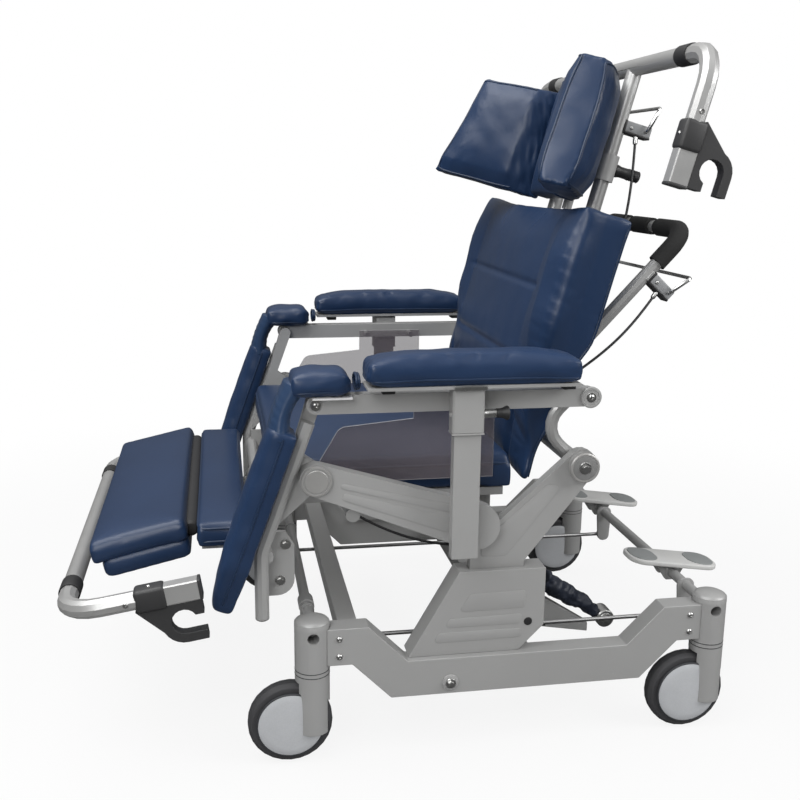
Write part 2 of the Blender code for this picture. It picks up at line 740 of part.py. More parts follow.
def beam_outline():
    """Two circles of unlike size and the straight edges that touch both."""
    small = KNEE_CAP / 2
    run = Vector((BEAM_REAR[0] - LINK_FRONT, BEAM_REAR[1] - LINK_LOW))
    heading = math.degrees(math.atan2(run.y, run.x))
    spread = math.degrees(math.acos((small - BEAM_REAR_RADIUS) / run.length))
    return (arc((LINK_FRONT, LINK_LOW), small, heading + spread, heading + 360 - spread, 12)
            + arc(BEAM_REAR, BEAM_REAR_RADIUS, heading - spread, heading + spread, 12))


def build_seat_frame():
    pivot("seat", (0, 0, TOWER_TOP))
    parts = []
    beam_inner = BEAM_X - BEAM_THICKNESS / 2
    beam_outer = BEAM_X + BEAM_THICKNESS / 2
    gusset_inner = PLATE_INNER
    for side in SIDES.values():
        parts.append(plate(side_plate_outline(), side * SIDE_X, PLATE_THICKNESS))
        parts.append(plate(beam_outline(), side * BEAM_X, BEAM_THICKNESS))
        root = Vector((side * (PLATE_OUTER - WELD), *BEAM_REAR))
        parts.append(cylinder(root, root + Vector((side * 2 * WELD, 0, 0)), 1.8 * BEAM_REAR_RADIUS))
        knee = KNEE + Vector((side * (beam_outer - WELD), 0, 0))
        parts.append(cylinder(knee, knee + Vector((side * CAP_THICKNESS, 0, 0)), KNEE_CAP - 4 * WELD))
        knee_pin = KNEE + Vector((side * (beam_inner + WELD), 0, 0))
        parts.append(cylinder(knee_pin, KNEE + Vector((side * gusset_inner, 0, 0)), KNEE_PIN_DIAMETER, 16))
        hip = BACK + Vector((side * (PLATE_OUTER - WELD), 0, 0))
        parts.append(cylinder(hip, hip + Vector((side * CAP_THICKNESS * 2, 0, 0)), BACK_CAP - 4 * WELD))
        hip_pin = BACK + Vector((side * (PLATE_INNER + WELD), 0, 0))
        parts.append(cylinder(hip_pin, hip_pin - Vector((side * SPIGOT_LENGTH, 0, 0)), BACK_PIN_DIAMETER, 16))
        stand = Vector((side * PAN_STAND_X, *SEAT_TUBE_REAR))
        parts.append(cylinder(stand, (stand.x, stand.y, PAN_BOTTOM + WELD), SEAT_TUBE * 0.8, 14))
    across = Vector((beam_inner + WELD, 0, 0))
    front = Vector((0, *SEAT_TUBE_FRONT))
    parts.append(cylinder(front - across, front + across, SEAT_TUBE, 16))
    across = Vector((PLATE_INNER + WELD, 0, 0))
    rear = Vector((0, *SEAT_TUBE_REAR))
    parts.append(cylinder(rear - across, rear + across, SEAT_TUBE, 16))
    parts.append(box((-PAN_HALF_WIDTH, SEAT_FRONT + PAN_THICKNESS, PAN_BOTTOM),
                     (PAN_HALF_WIDTH, SEAT_REAR - PAN_THICKNESS, PAN_BOTTOM + PAN_THICKNESS)))
    piece("seat_frame", fuse(*parts), "seat", "frame")


def build_seat_soft():
    bottom = PAN_BOTTOM + PAN_THICKNESS + GAP
    size = (2 * SEAT_HALF_WIDTH, SEAT_REAR - SEAT_FRONT, SEAT_TOP - bottom)
    pad = cushion(size, (9, 7, 3), pillow(0.80, 0.008))
    pad.data.transform(Matrix.Translation((0, (SEAT_FRONT + SEAT_REAR) / 2, (bottom + SEAT_TOP) / 2)))
    piece("seat_cushion", pad, "seat", "fabric")
    drop = SEAT_TUBE / 2 + CABLE_DIAMETER / 2 + GAP
    first = Vector((SEAT_CABLE_X, SEAT_TUBE_FRONT[0], SEAT_TUBE_FRONT[1] - drop))
    last = Vector((SEAT_CABLE_X, SEAT_TUBE_REAR[0], SEAT_TUBE_REAR[1] - drop))
    points = []
    for i in range(13):
        share = i / 12
        points.append(first.lerp(last, share) - Vector((0, 0, 4 * SEAT_CABLE_SAG * share * (1 - share))))
    piece("seat_cable", tube(points, CABLE_DIAMETER, 2), "seat", "black")


# Legs: side levers with bent struts, joined by the leg rest's pivot tube

def lever_outline():
    """A neck along the strut's line down from the arm's pivot, and a plate between the strut and the knee."""
    half = STRUT_DIAMETER / 2
    lean = math.degrees(STRUT_LEAN)
    high = strut_point(STRUT_START + half, half * 0.8)
    low = strut_point(STRUT_BEND - STRUT_DIAMETER, 0)
    shoulder = strut_point(KNEE_PLATE_START, -half)
    return (arc((ARM_FRONT.y, ARM_FRONT.z), half, -lean, 180 - lean) + [(high.y, high.z), (low.y, low.z)]
            + arc((KNEE.y, KNEE.z), KNEE_PIN_DIAMETER, -60, 70, 8) + [(shoulder.y, shoulder.z)])


def pivot_plate_outline():
    """A plate on the pivot tube, behind it and reaching down, with a round lower rear corner."""
    front, top = LEG_PIVOT[0], LEG_PIVOT[1] + PIVOT_PLATE_WIDTH * 0.7
    rear, bottom = front + PIVOT_PLATE_WIDTH, top - PIVOT_PLATE_HEIGHT
    corner = (rear - PIVOT_PLATE_WIDTH * 0.6, bottom + PIVOT_PLATE_WIDTH * 0.6)
    return [(rear - PIVOT_PLATE_WIDTH * 0.3, top), (front, top), (front, bottom)] + arc(
        corner, PIVOT_PLATE_WIDTH * 0.6, 270, 360, 6) + [(rear, top - PIVOT_PLATE_WIDTH * 0.5)]


def build_legs():
    pivot("leg", KNEE)
    parts, bores = [], []
    for side in SIDES.values():
        parts.append(plate(lever_outline(), side * SIDE_X, PLATE_THICKNESS - 2 * GAP))
        bend = strut_point(STRUT_BEND, 0)
        path = [strut_point(STRUT_START, 0), bend, Vector((0, bend.y, STRUT_BOTTOM))]
        offset = Vector((side * STRUT_X, 0, 0))
        parts.append(tube([p + offset for p in rounded(path, 2 * STRUT_DIAMETER)], STRUT_DIAMETER))
        pin = ARM_FRONT + Vector((side * SIDE_X, 0, 0))
        tip = ARM_FRONT + Vector((side * (ARM_X + ARM_BAR_THICKNESS / 2 + WELD), 0, 0))
        parts.append(cylinder(pin, tip, LINK_PIN_DIAMETER, 14))
        hole = KNEE + Vector((side * (PLATE_INNER - WELD), 0, 0))
        end = KNEE + Vector((side * (PLATE_OUTER + WELD), 0, 0))
        bores.append(cylinder(hole, end, KNEE_PIN_DIAMETER + 2 * RUN, 16))
        parts.append(plate(pivot_plate_outline(), side * PIVOT_PLATE_X, PIVOT_PLATE_THICKNESS))
    across = Vector((STRUT_X, 0, 0))
    middle = Vector((0, *LEG_PIVOT))
    parts.append(cylinder(middle - across, middle + across, LEG_TUBE, 16))
    piece("leg_frame", cut(fuse(*parts), *bores), "leg", "frame")
    for side_name, side in SIDES.items():
        size = (BOLSTER_WIDTH, BOLSTER_END - BOLSTER_START, BOLSTER_DEPTH)
        pad = cushion(size, (3, 9, 3), bolster_shape)
        middle = (BOLSTER_START + BOLSTER_END) / 2
        seat = STRUT_DIAMETER / 2 + GAP + BOLSTER_DEPTH / 2
        place = frame_matrix(strut_point(middle, seat, side * BOLSTER_X), Vector((-1, 0, 0)), DOWN_STRUT, OUT_STRUT)
        pad.data.transform(place)
        piece("leg_bolster_" + side_name, pad, "leg", "fabric")


def bolster_shape(p, q, r):
    """A long pad with round edges that narrows to a blunt tip at its lower end."""
    taper = 1 - 0.55 * max(q, 0) ** 4
    crown = 1 - 0.22 * abs(p) ** 6
    height = (crown * taper + 1) * (r + 1) / 2 - 1
    return (p * (1 - 0.12 * max(r, 0) ** 2) * taper, q, height)


# Leg rest: hubs on the pivot tube, two long tubes, support plates, cushions and the foot bar

def foot_frame():
    along = Vector((0, -math.cos(FOOT_SLOPE), -math.sin(FOOT_SLOPE)))
    out = Vector((0, -math.sin(FOOT_SLOPE), math.cos(FOOT_SLOPE)))
    return Vector((0, *FOOT_REAR)), along, out


def build_leg_rest():
    centre = Vector((0, *LEG_PIVOT))
    pivot("leg_rest", centre)
    bar = Vector((0, *FOOT_BAR))
    start, along, out = foot_frame()
    calf_low = CALF_TOP - CALF_DEPTH - GAP
    under = calf_low - REST_PLATE - REST_TUBE / 2 + WELD
    foot_low = start + along * FOOT_LENGTH / 2 - out * (FOOT_DEPTH + GAP + REST_PLATE)
    dip = bar + Vector((0, FOOT_LENGTH / 2, 0))
    parts, bores = [], []
    for side in SIDES.values():
        offset = Vector((side * REST_TUBE_X, 0, 0))
        path = [centre, Vector((0, CALF_REAR, under)), dip, bar]
        parts.append(tube([p + offset for p in rounded(path, REST_TUBE)], REST_TUBE))
        half = Vector((REST_HUB_WIDTH / 2, 0, 0))
        parts.append(cylinder(centre + offset - half, centre + offset + half, REST_HUB, 18))
        bores.append(cylinder(centre + offset - 2 * half, centre + offset + 2 * half, LEG_TUBE + 2 * RUN, 16))
        post = foot_low + offset
        share = (post.y - CALF_REAR) / (dip.y - CALF_REAR)
        below = Vector((post.x, post.y, under + (dip.z - under) * share))
        parts.append(cylinder(below, post + out * WELD, REST_TUBE * 0.8, 12))
    parts.append(box((-CALF_HALF_WIDTH + REST_TUBE, CALF_FRONT + REST_PLATE, calf_low - REST_PLATE),
                     (CALF_HALF_WIDTH - REST_TUBE, CALF_REAR - REST_PLATE, calf_low)))
    deck = box((-FOOT_HALF_WIDTH + REST_TUBE, REST_PLATE, -REST_PLATE),
               (FOOT_HALF_WIDTH - REST_TUBE, FOOT_LENGTH - REST_PLATE, 0))
    deck.data.transform(frame_matrix(start - out * (FOOT_DEPTH + GAP), Vector((-1, 0, 0)), along, out))
    parts.append(deck)
    across = Vector((BAR_HALF_LENGTH, 0, 0))
    parts.append(cylinder(bar - across, bar + across, BAR_DIAMETER, 18))
    across = Vector((BAR_HALF_LENGTH + SPIGOT_LENGTH, 0, 0))
    parts.append(cylinder(bar - across, bar + across, SPIGOT_DIAMETER, 14))
    piece("leg_rest_frame", cut(fuse(*parts), *bores), "leg_rest", "frame")
    calf = cushion((2 * CALF_HALF_WIDTH, CALF_REAR - CALF_FRONT, CALF_DEPTH), (9, 3, 3), pillow(0.78, 0.012))
    calf.data.transform(Matrix.Translation((0, (CALF_FRONT + CALF_REAR) / 2, CALF_TOP - CALF_DEPTH / 2)))
    piece("calf_cushion", calf, "leg_rest", "fabric")
    foot = cushion((2 * FOOT_HALF_WIDTH, FOOT_LENGTH, FOOT_DEPTH), (9, 5, 3), pillow(0.80, 0.012))
    middle = start + along * FOOT_LENGTH / 2 - out * FOOT_DEPTH / 2
    foot.data.transform(frame_matrix(middle, Vector((-1, 0, 0)), along, out))
    piece("foot_cushion", foot, "leg_rest", "fabric")


# Transfer arms: elbows that turn on the spigots of the foot and head bars, each with a black hook

def build_transfer_arm(name, body, bar, side, along, below):
    """An elbow along the given direction from its bar, and a hook on the side that below points to."""
    across = Vector((side, 0, 0))
    start = bar + across * (BAR_HALF_LENGTH + GAP)
    corner = bar + across * ARM_REACH_X
    pivot(body, bar + across * BAR_HALF_LENGTH)
    elbow = tube(rounded([start, corner, corner + along * ROUND_REACH], ARM_BEND), BAR_DIAMETER)
    width, depth = ARM_END_WIDTH / 2, ARM_END_DEPTH / 2
    end = box((-width, ROUND_REACH - WELD, -depth), (width, ARM_REACH, depth), 0.002)
    place = frame_matrix(corner, across, along, below)
    end.data.transform(place)
    bore = cylinder(bar, bar + across * (BAR_HALF_LENGTH + SPIGOT_LENGTH + GAP), SPIGOT_DIAMETER + 2 * RUN, 14)
    piece(name + "_arm_" + side_tag(side), cut(fuse(elbow, end), bore), body, "frame")
    hook = plate(hook_outline(depth), 0, HOOK_WIDTH)
    hook.data.transform(place)
    if place.determinant() < 0:
        hook.data.flip_normals()
    piece(name + "_hook_" + side_tag(side), hook, body, "black")


def side_tag(side):
    return next(name for name, value in SIDES.items() if value == side)


def hook_outline(seat):
    """The hook beside the arm's square end: a back on the tube, and a jaw whose mouth faces the arm's end."""
    mouth = HOOK_MOUTH / 2
    outer = mouth + HOOK_WALL
    top = seat + GAP
    centre = (ARM_REACH - HOOK_INSET, top + HOOK_BACK + mouth)
    lip = math.degrees(math.asin(HOOK_LIP / mouth))
    outline = [(ARM_REACH, top), (ARM_REACH, centre[1] - HOOK_LIP)]
    outline += arc(centre, mouth, 360 - lip, 90, 12)
    outline += [(ARM_REACH, centre[1] + mouth), (ARM_REACH, centre[1] + outer)]
    outline += arc(centre, outer, 90, 160, 5)
    outline += [(ARM_REACH - HOOK_INSET - 2 * outer, top)]
    return outline


def build_transfer_arms():
    foot = Vector((0, *FOOT_BAR))
    head = back_point(HEAD_BAR_REACH, UPRIGHT_OFFSET)
    foot_along = Vector((0, math.cos(FOOT_ARM_RISE), math.sin(FOOT_ARM_RISE)))
    foot_below = Vector((0, math.sin(FOOT_ARM_RISE), -math.cos(FOOT_ARM_RISE)))
    for side_name, side in SIDES.items():
        build_transfer_arm("foot", "foot_arm_" + side_name, foot, side, foot_along, foot_below)
        build_transfer_arm("head", "head_arm_" + side_name, head, side, -UP_BACK, -OUT_BACK)


# Arms: linkage bars with post sleeves, sliding posts with pads, front pads, plungers and clear screens

def build_arms():
    half = ARM_BAR_HEIGHT / 2
    front, rear = (ARM_FRONT.y, ARM_FRONT.z), (ARM_REAR.y, ARM_REAR.z)
    bar_outline = arc(front, half, 90, 270, 10) + arc(rear, half, -90, 90, 10)
    bar_top = ARM_FRONT.z + half
    post_half = Vector((ARM_POST_WIDTH / 2, ARM_POST_DEPTH / 2, 0))
    wall = Vector((SLEEVE_WALL, SLEEVE_WALL, 0))
    for side_name, side in SIDES.items():
        across = Vector((side, 0, 0))
        bar_outer = ARM_X + ARM_BAR_THICKNESS / 2
        post = Vector((side * POST_X, POST_Y, 0))
        pivot("arm_" + side_name, ARM_FRONT + across * ARM_X)
        pivot("armrest_" + side_name, (post.x, post.y, SLEEVE_TOP))
        low = Vector((0, 0, SLEEVE_BOTTOM))
        high = Vector((0, 0, SLEEVE_TOP))
        sleeve = box(post - post_half - wall + low, post + post_half + wall + high, 0.003)
        spacer_end = POST_X - post_half.x - SLEEVE_WALL / 2
        spacer = box_between(side * (bar_outer - WELD), side * spacer_end, POST_Y - post_half.y, POST_Y + post_half.y,
                             ARM_FRONT.z - half + WELD, SLEEVE_TOP - SLEEVE_WALL)
        studs = []
        for y in (SCREEN_REAR - 2 * SCREEN_STUD, SCREEN_STEP + 2 * SCREEN_STUD):
            stud = Vector((side * (SCREEN_X + SCREEN_THICKNESS / 2 + GAP), y, ARM_FRONT.z - SCREEN_STUD / 2))
            studs.append(cylinder(stud, stud + across * (bar_outer - SCREEN_X - ARM_BAR_THICKNESS / 2), SCREEN_STUD, 10))
        bar = fuse(plate(bar_outline, side * ARM_X, ARM_BAR_THICKNESS), spacer, sleeve, *studs)
        clear = Vector((GAP, GAP, 0)) + post_half
        channel = box(post - clear + low * 0.9, post + clear + high * 1.1)
        bores = [cylinder(p + across * (ARM_X - ARM_BAR_THICKNESS), p + across * (ARM_X + ARM_BAR_THICKNESS),
                          LINK_PIN_DIAMETER + 2 * RUN, 14) for p in (ARM_FRONT, ARM_REAR)]
        neck = Vector((post.x, POST_Y + post_half.y - WELD, PLUNGER_HEIGHT))
        neck_end = neck + Vector((0, 2 * SLEEVE_WALL, 0))
        bores.append(cylinder(neck, neck_end, PLUNGER_DIAMETER + 2 * RUN, 12))
        piece("arm_bar_" + side_name, cut(bar, channel, *bores), "arm_" + side_name, "frame")
        build_armrest(side_name, side, post, post_half)
        build_plunger(side_name, Vector((post.x, POST_Y + post_half.y + GAP, PLUNGER_HEIGHT)))
        build_front_pad(side_name, side, bar_top)
        build_screen(side_name, side)


def box_between(x_one, x_two, y_low, y_high, z_low, z_high):
    return box((min(x_one, x_two), y_low, z_low), (max(x_one, x_two), y_high, z_high))


def build_armrest(side_name, side, post, post_half):
    plate_low = SLEEVE_TOP + GAP
    stem = box(post - post_half + Vector((0, 0, ARM_POST_BOTTOM)),
               post + post_half + Vector((0, 0, plate_low + WELD)))
    inset = PAD_WIDTH / 2 - 2 * PAD_PLATE_THICKNESS
    table = box((side * PAD_X - inset, PAD_FRONT + PAD_PLATE_THICKNESS, plate_low),
                (side * PAD_X + inset, PAD_REAR - PAD_PLATE_THICKNESS, PAD_BOTTOM))
    piece("arm_post_" + side_name, fuse(stem, table), "armrest_" + side_name, "frame")
    pad = cushion((PAD_WIDTH, PAD_REAR - PAD_FRONT, PAD_HEIGHT), (3, 9, 3), pillow(0.74, 0.012))
    middle = Vector((side * PAD_X, (PAD_FRONT + PAD_REAR) / 2, PAD_BOTTOM + GAP + PAD_HEIGHT / 2))
    pad.data.transform(Matrix.Translation(middle))
    piece("arm_pad_" + side_name, pad, "armrest_" + side_name, "fabric")


def build_plunger(side_name, tip):
    pivot("plunger_" + side_name, tip)
    neck = tip + Vector((0, SLEEVE_WALL + PLUNGER_NECK, 0))
    knob_end = neck + Vector((0, PLUNGER_KNOB, 0))
    knob = cylinder(neck - Vector((0, WELD, 0)), knob_end, PLUNGER_KNOB, 16)
    piece("arm_plunger_" + side_name, fuse(cylinder(tip, neck, PLUNGER_DIAMETER, 12), knob),
          "plunger_" + side_name, "black")


def build_front_pad(side_name, side, bar_top):
    rear = PAD_FRONT - 4 * WELD
    pad = cushion((FRONT_PAD_WIDTH, rear - FRONT_PAD_FRONT, FRONT_PAD_HEIGHT), (3, 4, 3), pillow(0.70, 0.02))
    middle = Vector((side * ARM_X, (rear + FRONT_PAD_FRONT) / 2, bar_top + GAP + FRONT_PAD_HEIGHT / 2))
    pad.data.transform(Matrix.Translation(middle))
    piece("arm_front_pad_" + side_name, pad, "arm_" + side_name, "fabric")


def build_screen(side_name, side):
    top = ARM_FRONT.z + SCREEN_STUD / 2
    round_corner = 0.022
    lean = (SCREEN_SHOULDER - SCREEN_BOTTOM) / 2
    corner = (SCREEN_FRONT + lean + round_corner, SCREEN_SHOULDER - round_corner)
    outline = [(SCREEN_FRONT, SCREEN_BOTTOM), (SCREEN_REAR, SCREEN_BOTTOM), (SCREEN_REAR, top), (SCREEN_STEP, top),
               (SCREEN_STEP, SCREEN_SHOULDER + round_corner / 2)]
    outline += arc(corner, round_corner, 90, 160, 4)
    piece("side_screen_" + side_name, plate(outline, side * SCREEN_X, SCREEN_THICKNESS), "arm_" + side_name, "screen")


# Back: pivot tube, arm cross tube, uprights, head bar, side brackets, push bar and release blocks

def push_arm_point(share, x):
    top = Vector((x, *PUSH_BAR))
    foot = Vector((x, ARM_REAR.y, ARM_REAR.z))
    return foot.lerp(top, share)


def block(centre, along, up, length):
    solid = box((-BLOCK_WIDTH / 2, 0, -BLOCK_HEIGHT / 2), (BLOCK_WIDTH / 2, length, BLOCK_HEIGHT / 2), 0.002)
    solid.data.transform(frame_matrix(centre, Vector((1, 0, 0)), along, up))
    return solid


def release_handles():
    """Each handle's half width, the place on its tube, and the directions of its blocks and bail legs."""
    arm = (push_arm_point(1, 0) - push_arm_point(0, 0)).normalized()
    arm_out = Vector((0, arm.z, -arm.y))
    return {
        "upper": (UPRIGHT_X, back_point(UPPER_BLOCK_REACH, UPRIGHT_OFFSET), -OUT_BACK, UP_BACK),
        "lower": (PUSH_HALF_WIDTH, push_arm_point(LOWER_BLOCK_SHARE, 0), arm_out, arm),
    }


def build_back_frame():
    pivot("back", BACK)
    reach = Vector((PLATE_INNER - GAP, 0, 0))
    parts = [cylinder(BACK - reach, BACK + reach, BACK_TUBE, 18)]
    across = Vector((SIDE_BRACKET_X + SIDE_BRACKET_TUBE, 0, 0))
    parts.append(cylinder(ARM_REAR - across, ARM_REAR + across, ARM_CROSS_TUBE, 16))
    across = Vector((ARM_X + ARM_BAR_THICKNESS / 2 + WELD, 0, 0))
    parts.append(cylinder(ARM_REAR - across, ARM_REAR + across, LINK_PIN_DIAMETER, 14))
    head = back_point(HEAD_BAR_REACH, UPRIGHT_OFFSET)
    across = Vector((BAR_HALF_LENGTH, 0, 0))
    parts.append(cylinder(head - across, head + across, BAR_DIAMETER, 18))
    across = Vector((BAR_HALF_LENGTH + SPIGOT_LENGTH, 0, 0))
    parts.append(cylinder(head - across, head + across, SPIGOT_DIAMETER, 14))
    middle = (BACK + ARM_REAR) / 2 - Vector((0, SIDE_BRACKET_REACH, 0))
    for side in SIDES.values():
        x = side * UPRIGHT_X
        parts.append(cylinder(back_point(0, UPRIGHT_OFFSET, x), back_point(HEAD_BAR_REACH, UPRIGHT_OFFSET, x),
                              UPRIGHT_DIAMETER, 16))
        offset = Vector((side * SIDE_BRACKET_X, 0, 0))
        path = rounded([BACK, middle, ARM_REAR], 2 * SIDE_BRACKET_TUBE)
        parts.append(tube([p + offset for p in path], SIDE_BRACKET_TUBE))
    bores = [cylinder(BACK + side * (reach - Vector((SPIGOT_LENGTH + GAP, 0, 0))), BACK + side * 1.1 * reach,
                      BACK_PIN_DIAMETER + 2 * RUN, 16) for side in SIDES.values()]
    blocks, holes = release_blocks("upper")
    piece("back_frame", cut(fuse(*parts, *blocks), *bores, *holes), "back", "frame")


def release_blocks(name):
    """The two blocks of a release handle and the holes for its bail."""
    half, place, along, up = release_handles()[name]
    blocks, holes = [], []
    for side in SIDES.values():
        centre = place + Vector((side * half, 0, 0))
        blocks.append(block(centre, along, up, BLOCK_LENGTH))
        hole = centre + along * (BLOCK_LENGTH - BLOCK_HEIGHT / 2)
        outward = Vector((side * BLOCK_WIDTH, 0, 0))
        holes.append(cylinder(hole, hole + outward, BAIL_WIRE + 2 * RUN, 10))
    return blocks, holes


def build_push_bar():
    """A bent tube whose ends meet the arm cross tube, with the lower release blocks."""
    push = [push_arm_point(0, PUSH_HALF_WIDTH), push_arm_point(1, PUSH_HALF_WIDTH),
            push_arm_point(1, -PUSH_HALF_WIDTH), push_arm_point(0, -PUSH_HALF_WIDTH)]
    bar = tube(rounded(push, PUSH_BEND, 6), PUSH_TUBE)
    blocks, holes = release_blocks("lower")
    across = Vector((SIDE_BRACKET_X, 0, 0))
    cope = cylinder(ARM_REAR - across, ARM_REAR + across, ARM_CROSS_TUBE + 2 * GAP, 16)
    piece("push_bar", cut(fuse(bar, *blocks), cope, *holes), "back", "frame")


def build_bails():
    for name, (half, place, along, up) in release_handles().items():
        foot = place + along * (BLOCK_LENGTH - BLOCK_HEIGHT / 2)
        pivot("release_" + name, foot)
        top = foot + up * BAIL_REACH + along * BAIL_REACH / 4
        leg = half + BLOCK_WIDTH / 2 + BAIL_SIDE
        stub = half + GAP + WELD
        path = [foot + Vector((stub, 0, 0)), foot + Vector((leg, 0, 0)), top + Vector((leg, 0, 0)),
                top - Vector((leg, 0, 0)), foot - Vector((leg, 0, 0)), foot - Vector((stub, 0, 0))]
        piece("release_bail_" + name, tube(rounded(path, BAIL_WIRE, 3), BAIL_WIRE, 2), "release_" + name, "chrome")


def build_cables():
    """Release cables from the blocks to the cross tube that the arms turn on."""
    handles = release_handles()
    for name, spread in (("upper", UPPER_CABLE_BOW), ("lower", LOWER_CABLE_BOW)):
        half, place, along, up = handles[name]
        start = place + Vector((half + BLOCK_WIDTH / 2 - CABLE_DIAMETER, 0, 0)) + along * BLOCK_LENGTH * 0.6
        start -= up * (BLOCK_HEIGHT / 2 + CABLE_DIAMETER * 0.2 + GAP)
        foot = ARM_REAR + Vector((half + (LOWER_CABLE_SHIFT if name == "lower" else BLOCK_WIDTH), 0, 0))
        bow = (along + Vector((1, 0, 0)) * 0.6).normalized() * spread
        arrival = start - foot + bow * math.pi
        arrival.x = 0
        end = foot + arrival.normalized() * (ARM_CROSS_TUBE / 2 + CABLE_DIAMETER * 0.1 + GAP)
        points = []
        for i in range(15):
            share = i / 14
            points.append(start.lerp(end, share) + bow * math.sin(math.pi * share))
        piece("release_cable_" + name, tube(points, CABLE_DIAMETER, 2), "back", "black")


def back_shape(p, q, r):
    """A crowned slab with two sewn channels across its front, side lobes past the frame and a tongue below."""
    reach = CUSHION_START + (CUSHION_END - CUSHION_START) * (q + 1) / 2
    crown = 0.82 + 0.18 * (1 - abs(p) ** 6) * (1 - abs(q) ** 6)
    for seam in (0.144, 0.281):
        crown -= 0.09 * math.exp(-((reach - seam) / 0.019) ** 2)
    height = (crown + 1) * (r + 1) / 2 - 1
    lobe = max(0.0, abs(p) - 0.62) / 0.38
    rise = min(1.0, max(0.0, (reach - 0.150) / 0.050))
    half = (CUSHION_FRONT - CUSHION_BACK) / 2
    height -= (1 - r) * LOBE_DEPTH / (2 * half) * min(1.0, 1.4 * lobe) * rise
    tuck = min(1.0, max(0.0, (CUSHION_TUCK - reach) / 0.04))
    tongue = (TONGUE_FRONT + TONGUE_BACK - CUSHION_FRONT - CUSHION_BACK + (TONGUE_FRONT - TONGUE_BACK) * r) / (2 * half)
    height += (tongue - height) * tuck
    return (p * (1 - 0.02 * (1 - q * q)), q * (1 - 0.02 * (1 - p * p)), height)


def build_back_cushion():
    size = (2 * CUSHION_HALF_WIDTH, CUSHION_END - CUSHION_START, CUSHION_FRONT - CUSHION_BACK)
    pad = cushion(size, (11, 14, 3), back_shape)
    centre = back_point((CUSHION_START + CUSHION_END) / 2, (CUSHION_FRONT + CUSHION_BACK) / 2)
    pad.data.transform(frame_matrix(centre, Vector((1, 0, 0)), UP_BACK, OUT_BACK))
    piece("back_cushion", pad, "back", "fabric")


# Headrest: a bracket that slides on the uprights, a middle pad, two wings and a clamp knob

def build_headrest():
    low = back_point(REST_SLEEVE_START, UPRIGHT_OFFSET)
    high = back_point(REST_SLEEVE_START + REST_SLEEVE_LENGTH, UPRIGHT_OFFSET)
    pivot("headrest", low)
    face = UPRIGHT_OFFSET + REST_SLEEVE / 2
    parts, bores = [], []
    for side in SIDES.values():
        offset = Vector((side * UPRIGHT_X, 0, 0))
        parts.append(cylinder(low + offset, high + offset, REST_SLEEVE, 18))
        bores.append(cylinder(low + offset - UP_BACK * WELD, high + offset + UP_BACK * WELD,
                              UPRIGHT_DIAMETER + 2 * RUN, 16))
    board_top = HEAD_END - REST_SLEEVE_LENGTH
    board_face = face + BRACKET_THICKNESS
    pin_x = HEAD_HALF_WIDTH + WING_PIN_GAP + WING_PIN / 2
    pin_out = board_face + WING_PIN_STAND
    boards = [box((-UPRIGHT_X, REST_SLEEVE_START, face - WELD), (UPRIGHT_X, board_top, board_face))]
    for side in SIDES.values():
        for lug in (REST_SLEEVE_START + WING_PIN, board_top - WING_PIN):
            boards.append(box((side * pin_x - WING_PIN * 0.4, lug - WING_PIN / 2, board_face - WELD),
                              (side * pin_x + WING_PIN * 0.4, lug + WING_PIN / 2, pin_out)))
        parts.append(cylinder(back_point(REST_SLEEVE_START, pin_out, side * pin_x),
                              back_point(board_top, pin_out, side * pin_x), WING_PIN, 14))
    for board in boards:
        board.data.transform(frame_matrix(BACK, Vector((1, 0, 0)), UP_BACK, OUT_BACK))
    parts += boards
    stem_out = face - STEM_DIAMETER / 2 + WELD
    stem_end = REST_SLEEVE_START + REST_SLEEVE_LENGTH * 1.2
    parts.append(cylinder(back_point(STEM_START, stem_out), back_point(stem_end, stem_out), STEM_DIAMETER, 14))
    knob_start = back_point(REST_SLEEVE_START + REST_SLEEVE_LENGTH / 2, UPRIGHT_OFFSET - REST_SLEEVE / 2 + WELD,
                            UPRIGHT_X - KNOB_DIAMETER / 4)
    parts.append(cylinder(knob_start, knob_start - OUT_BACK * KNOB_LENGTH, KNOB_DIAMETER, 14))
    piece("headrest_bracket", cut(fuse(*parts), *bores), "headrest", "frame")
    head_back = face + BRACKET_THICKNESS + GAP
    pad = cushion((2 * HEAD_HALF_WIDTH, HEAD_END - HEAD_START, HEAD_DEPTH), (5, 6, 3), pillow(0.55, 0.03))
    middle = back_point((HEAD_START + HEAD_END) / 2, head_back + HEAD_DEPTH / 2)
    pad.data.transform(frame_matrix(middle, Vector((1, 0, 0)), UP_BACK, OUT_BACK))
    piece("headrest_middle", pad, "headrest", "fabric")
    for side_name, side in SIDES.items():
        hinge = back_point((HEAD_START + HEAD_END) / 2, pin_out, side * pin_x)
        pivot("wing_" + side_name, hinge)
        turn = WING_ANGLE[side]
        away = Vector((side * math.cos(turn), 0, 0)) + OUT_BACK * math.sin(turn)
        inward = OUT_BACK * math.cos(turn) - Vector((side * math.sin(turn), 0, 0))
        height = HEAD_END - HEAD_START - WING_LOWER_TOP[side] + WING_SAG[side]
        middle = hinge - UP_BACK * (WING_LOWER_TOP[side] + WING_SAG[side]) / 2
        wing = cushion((WING_LENGTH, height, WING_DEPTH), (6, 6, 3), wing_shape)
        root = WING_PIN / 2 + GAP
        wing.data.transform(frame_matrix(middle + away * (root + WING_LENGTH / 2), away, UP_BACK, inward))
        if side < 0:
            wing.data.flip_normals()
        piece("headrest_wing_" + side_name, wing, "wing_" + side_name, "fabric")


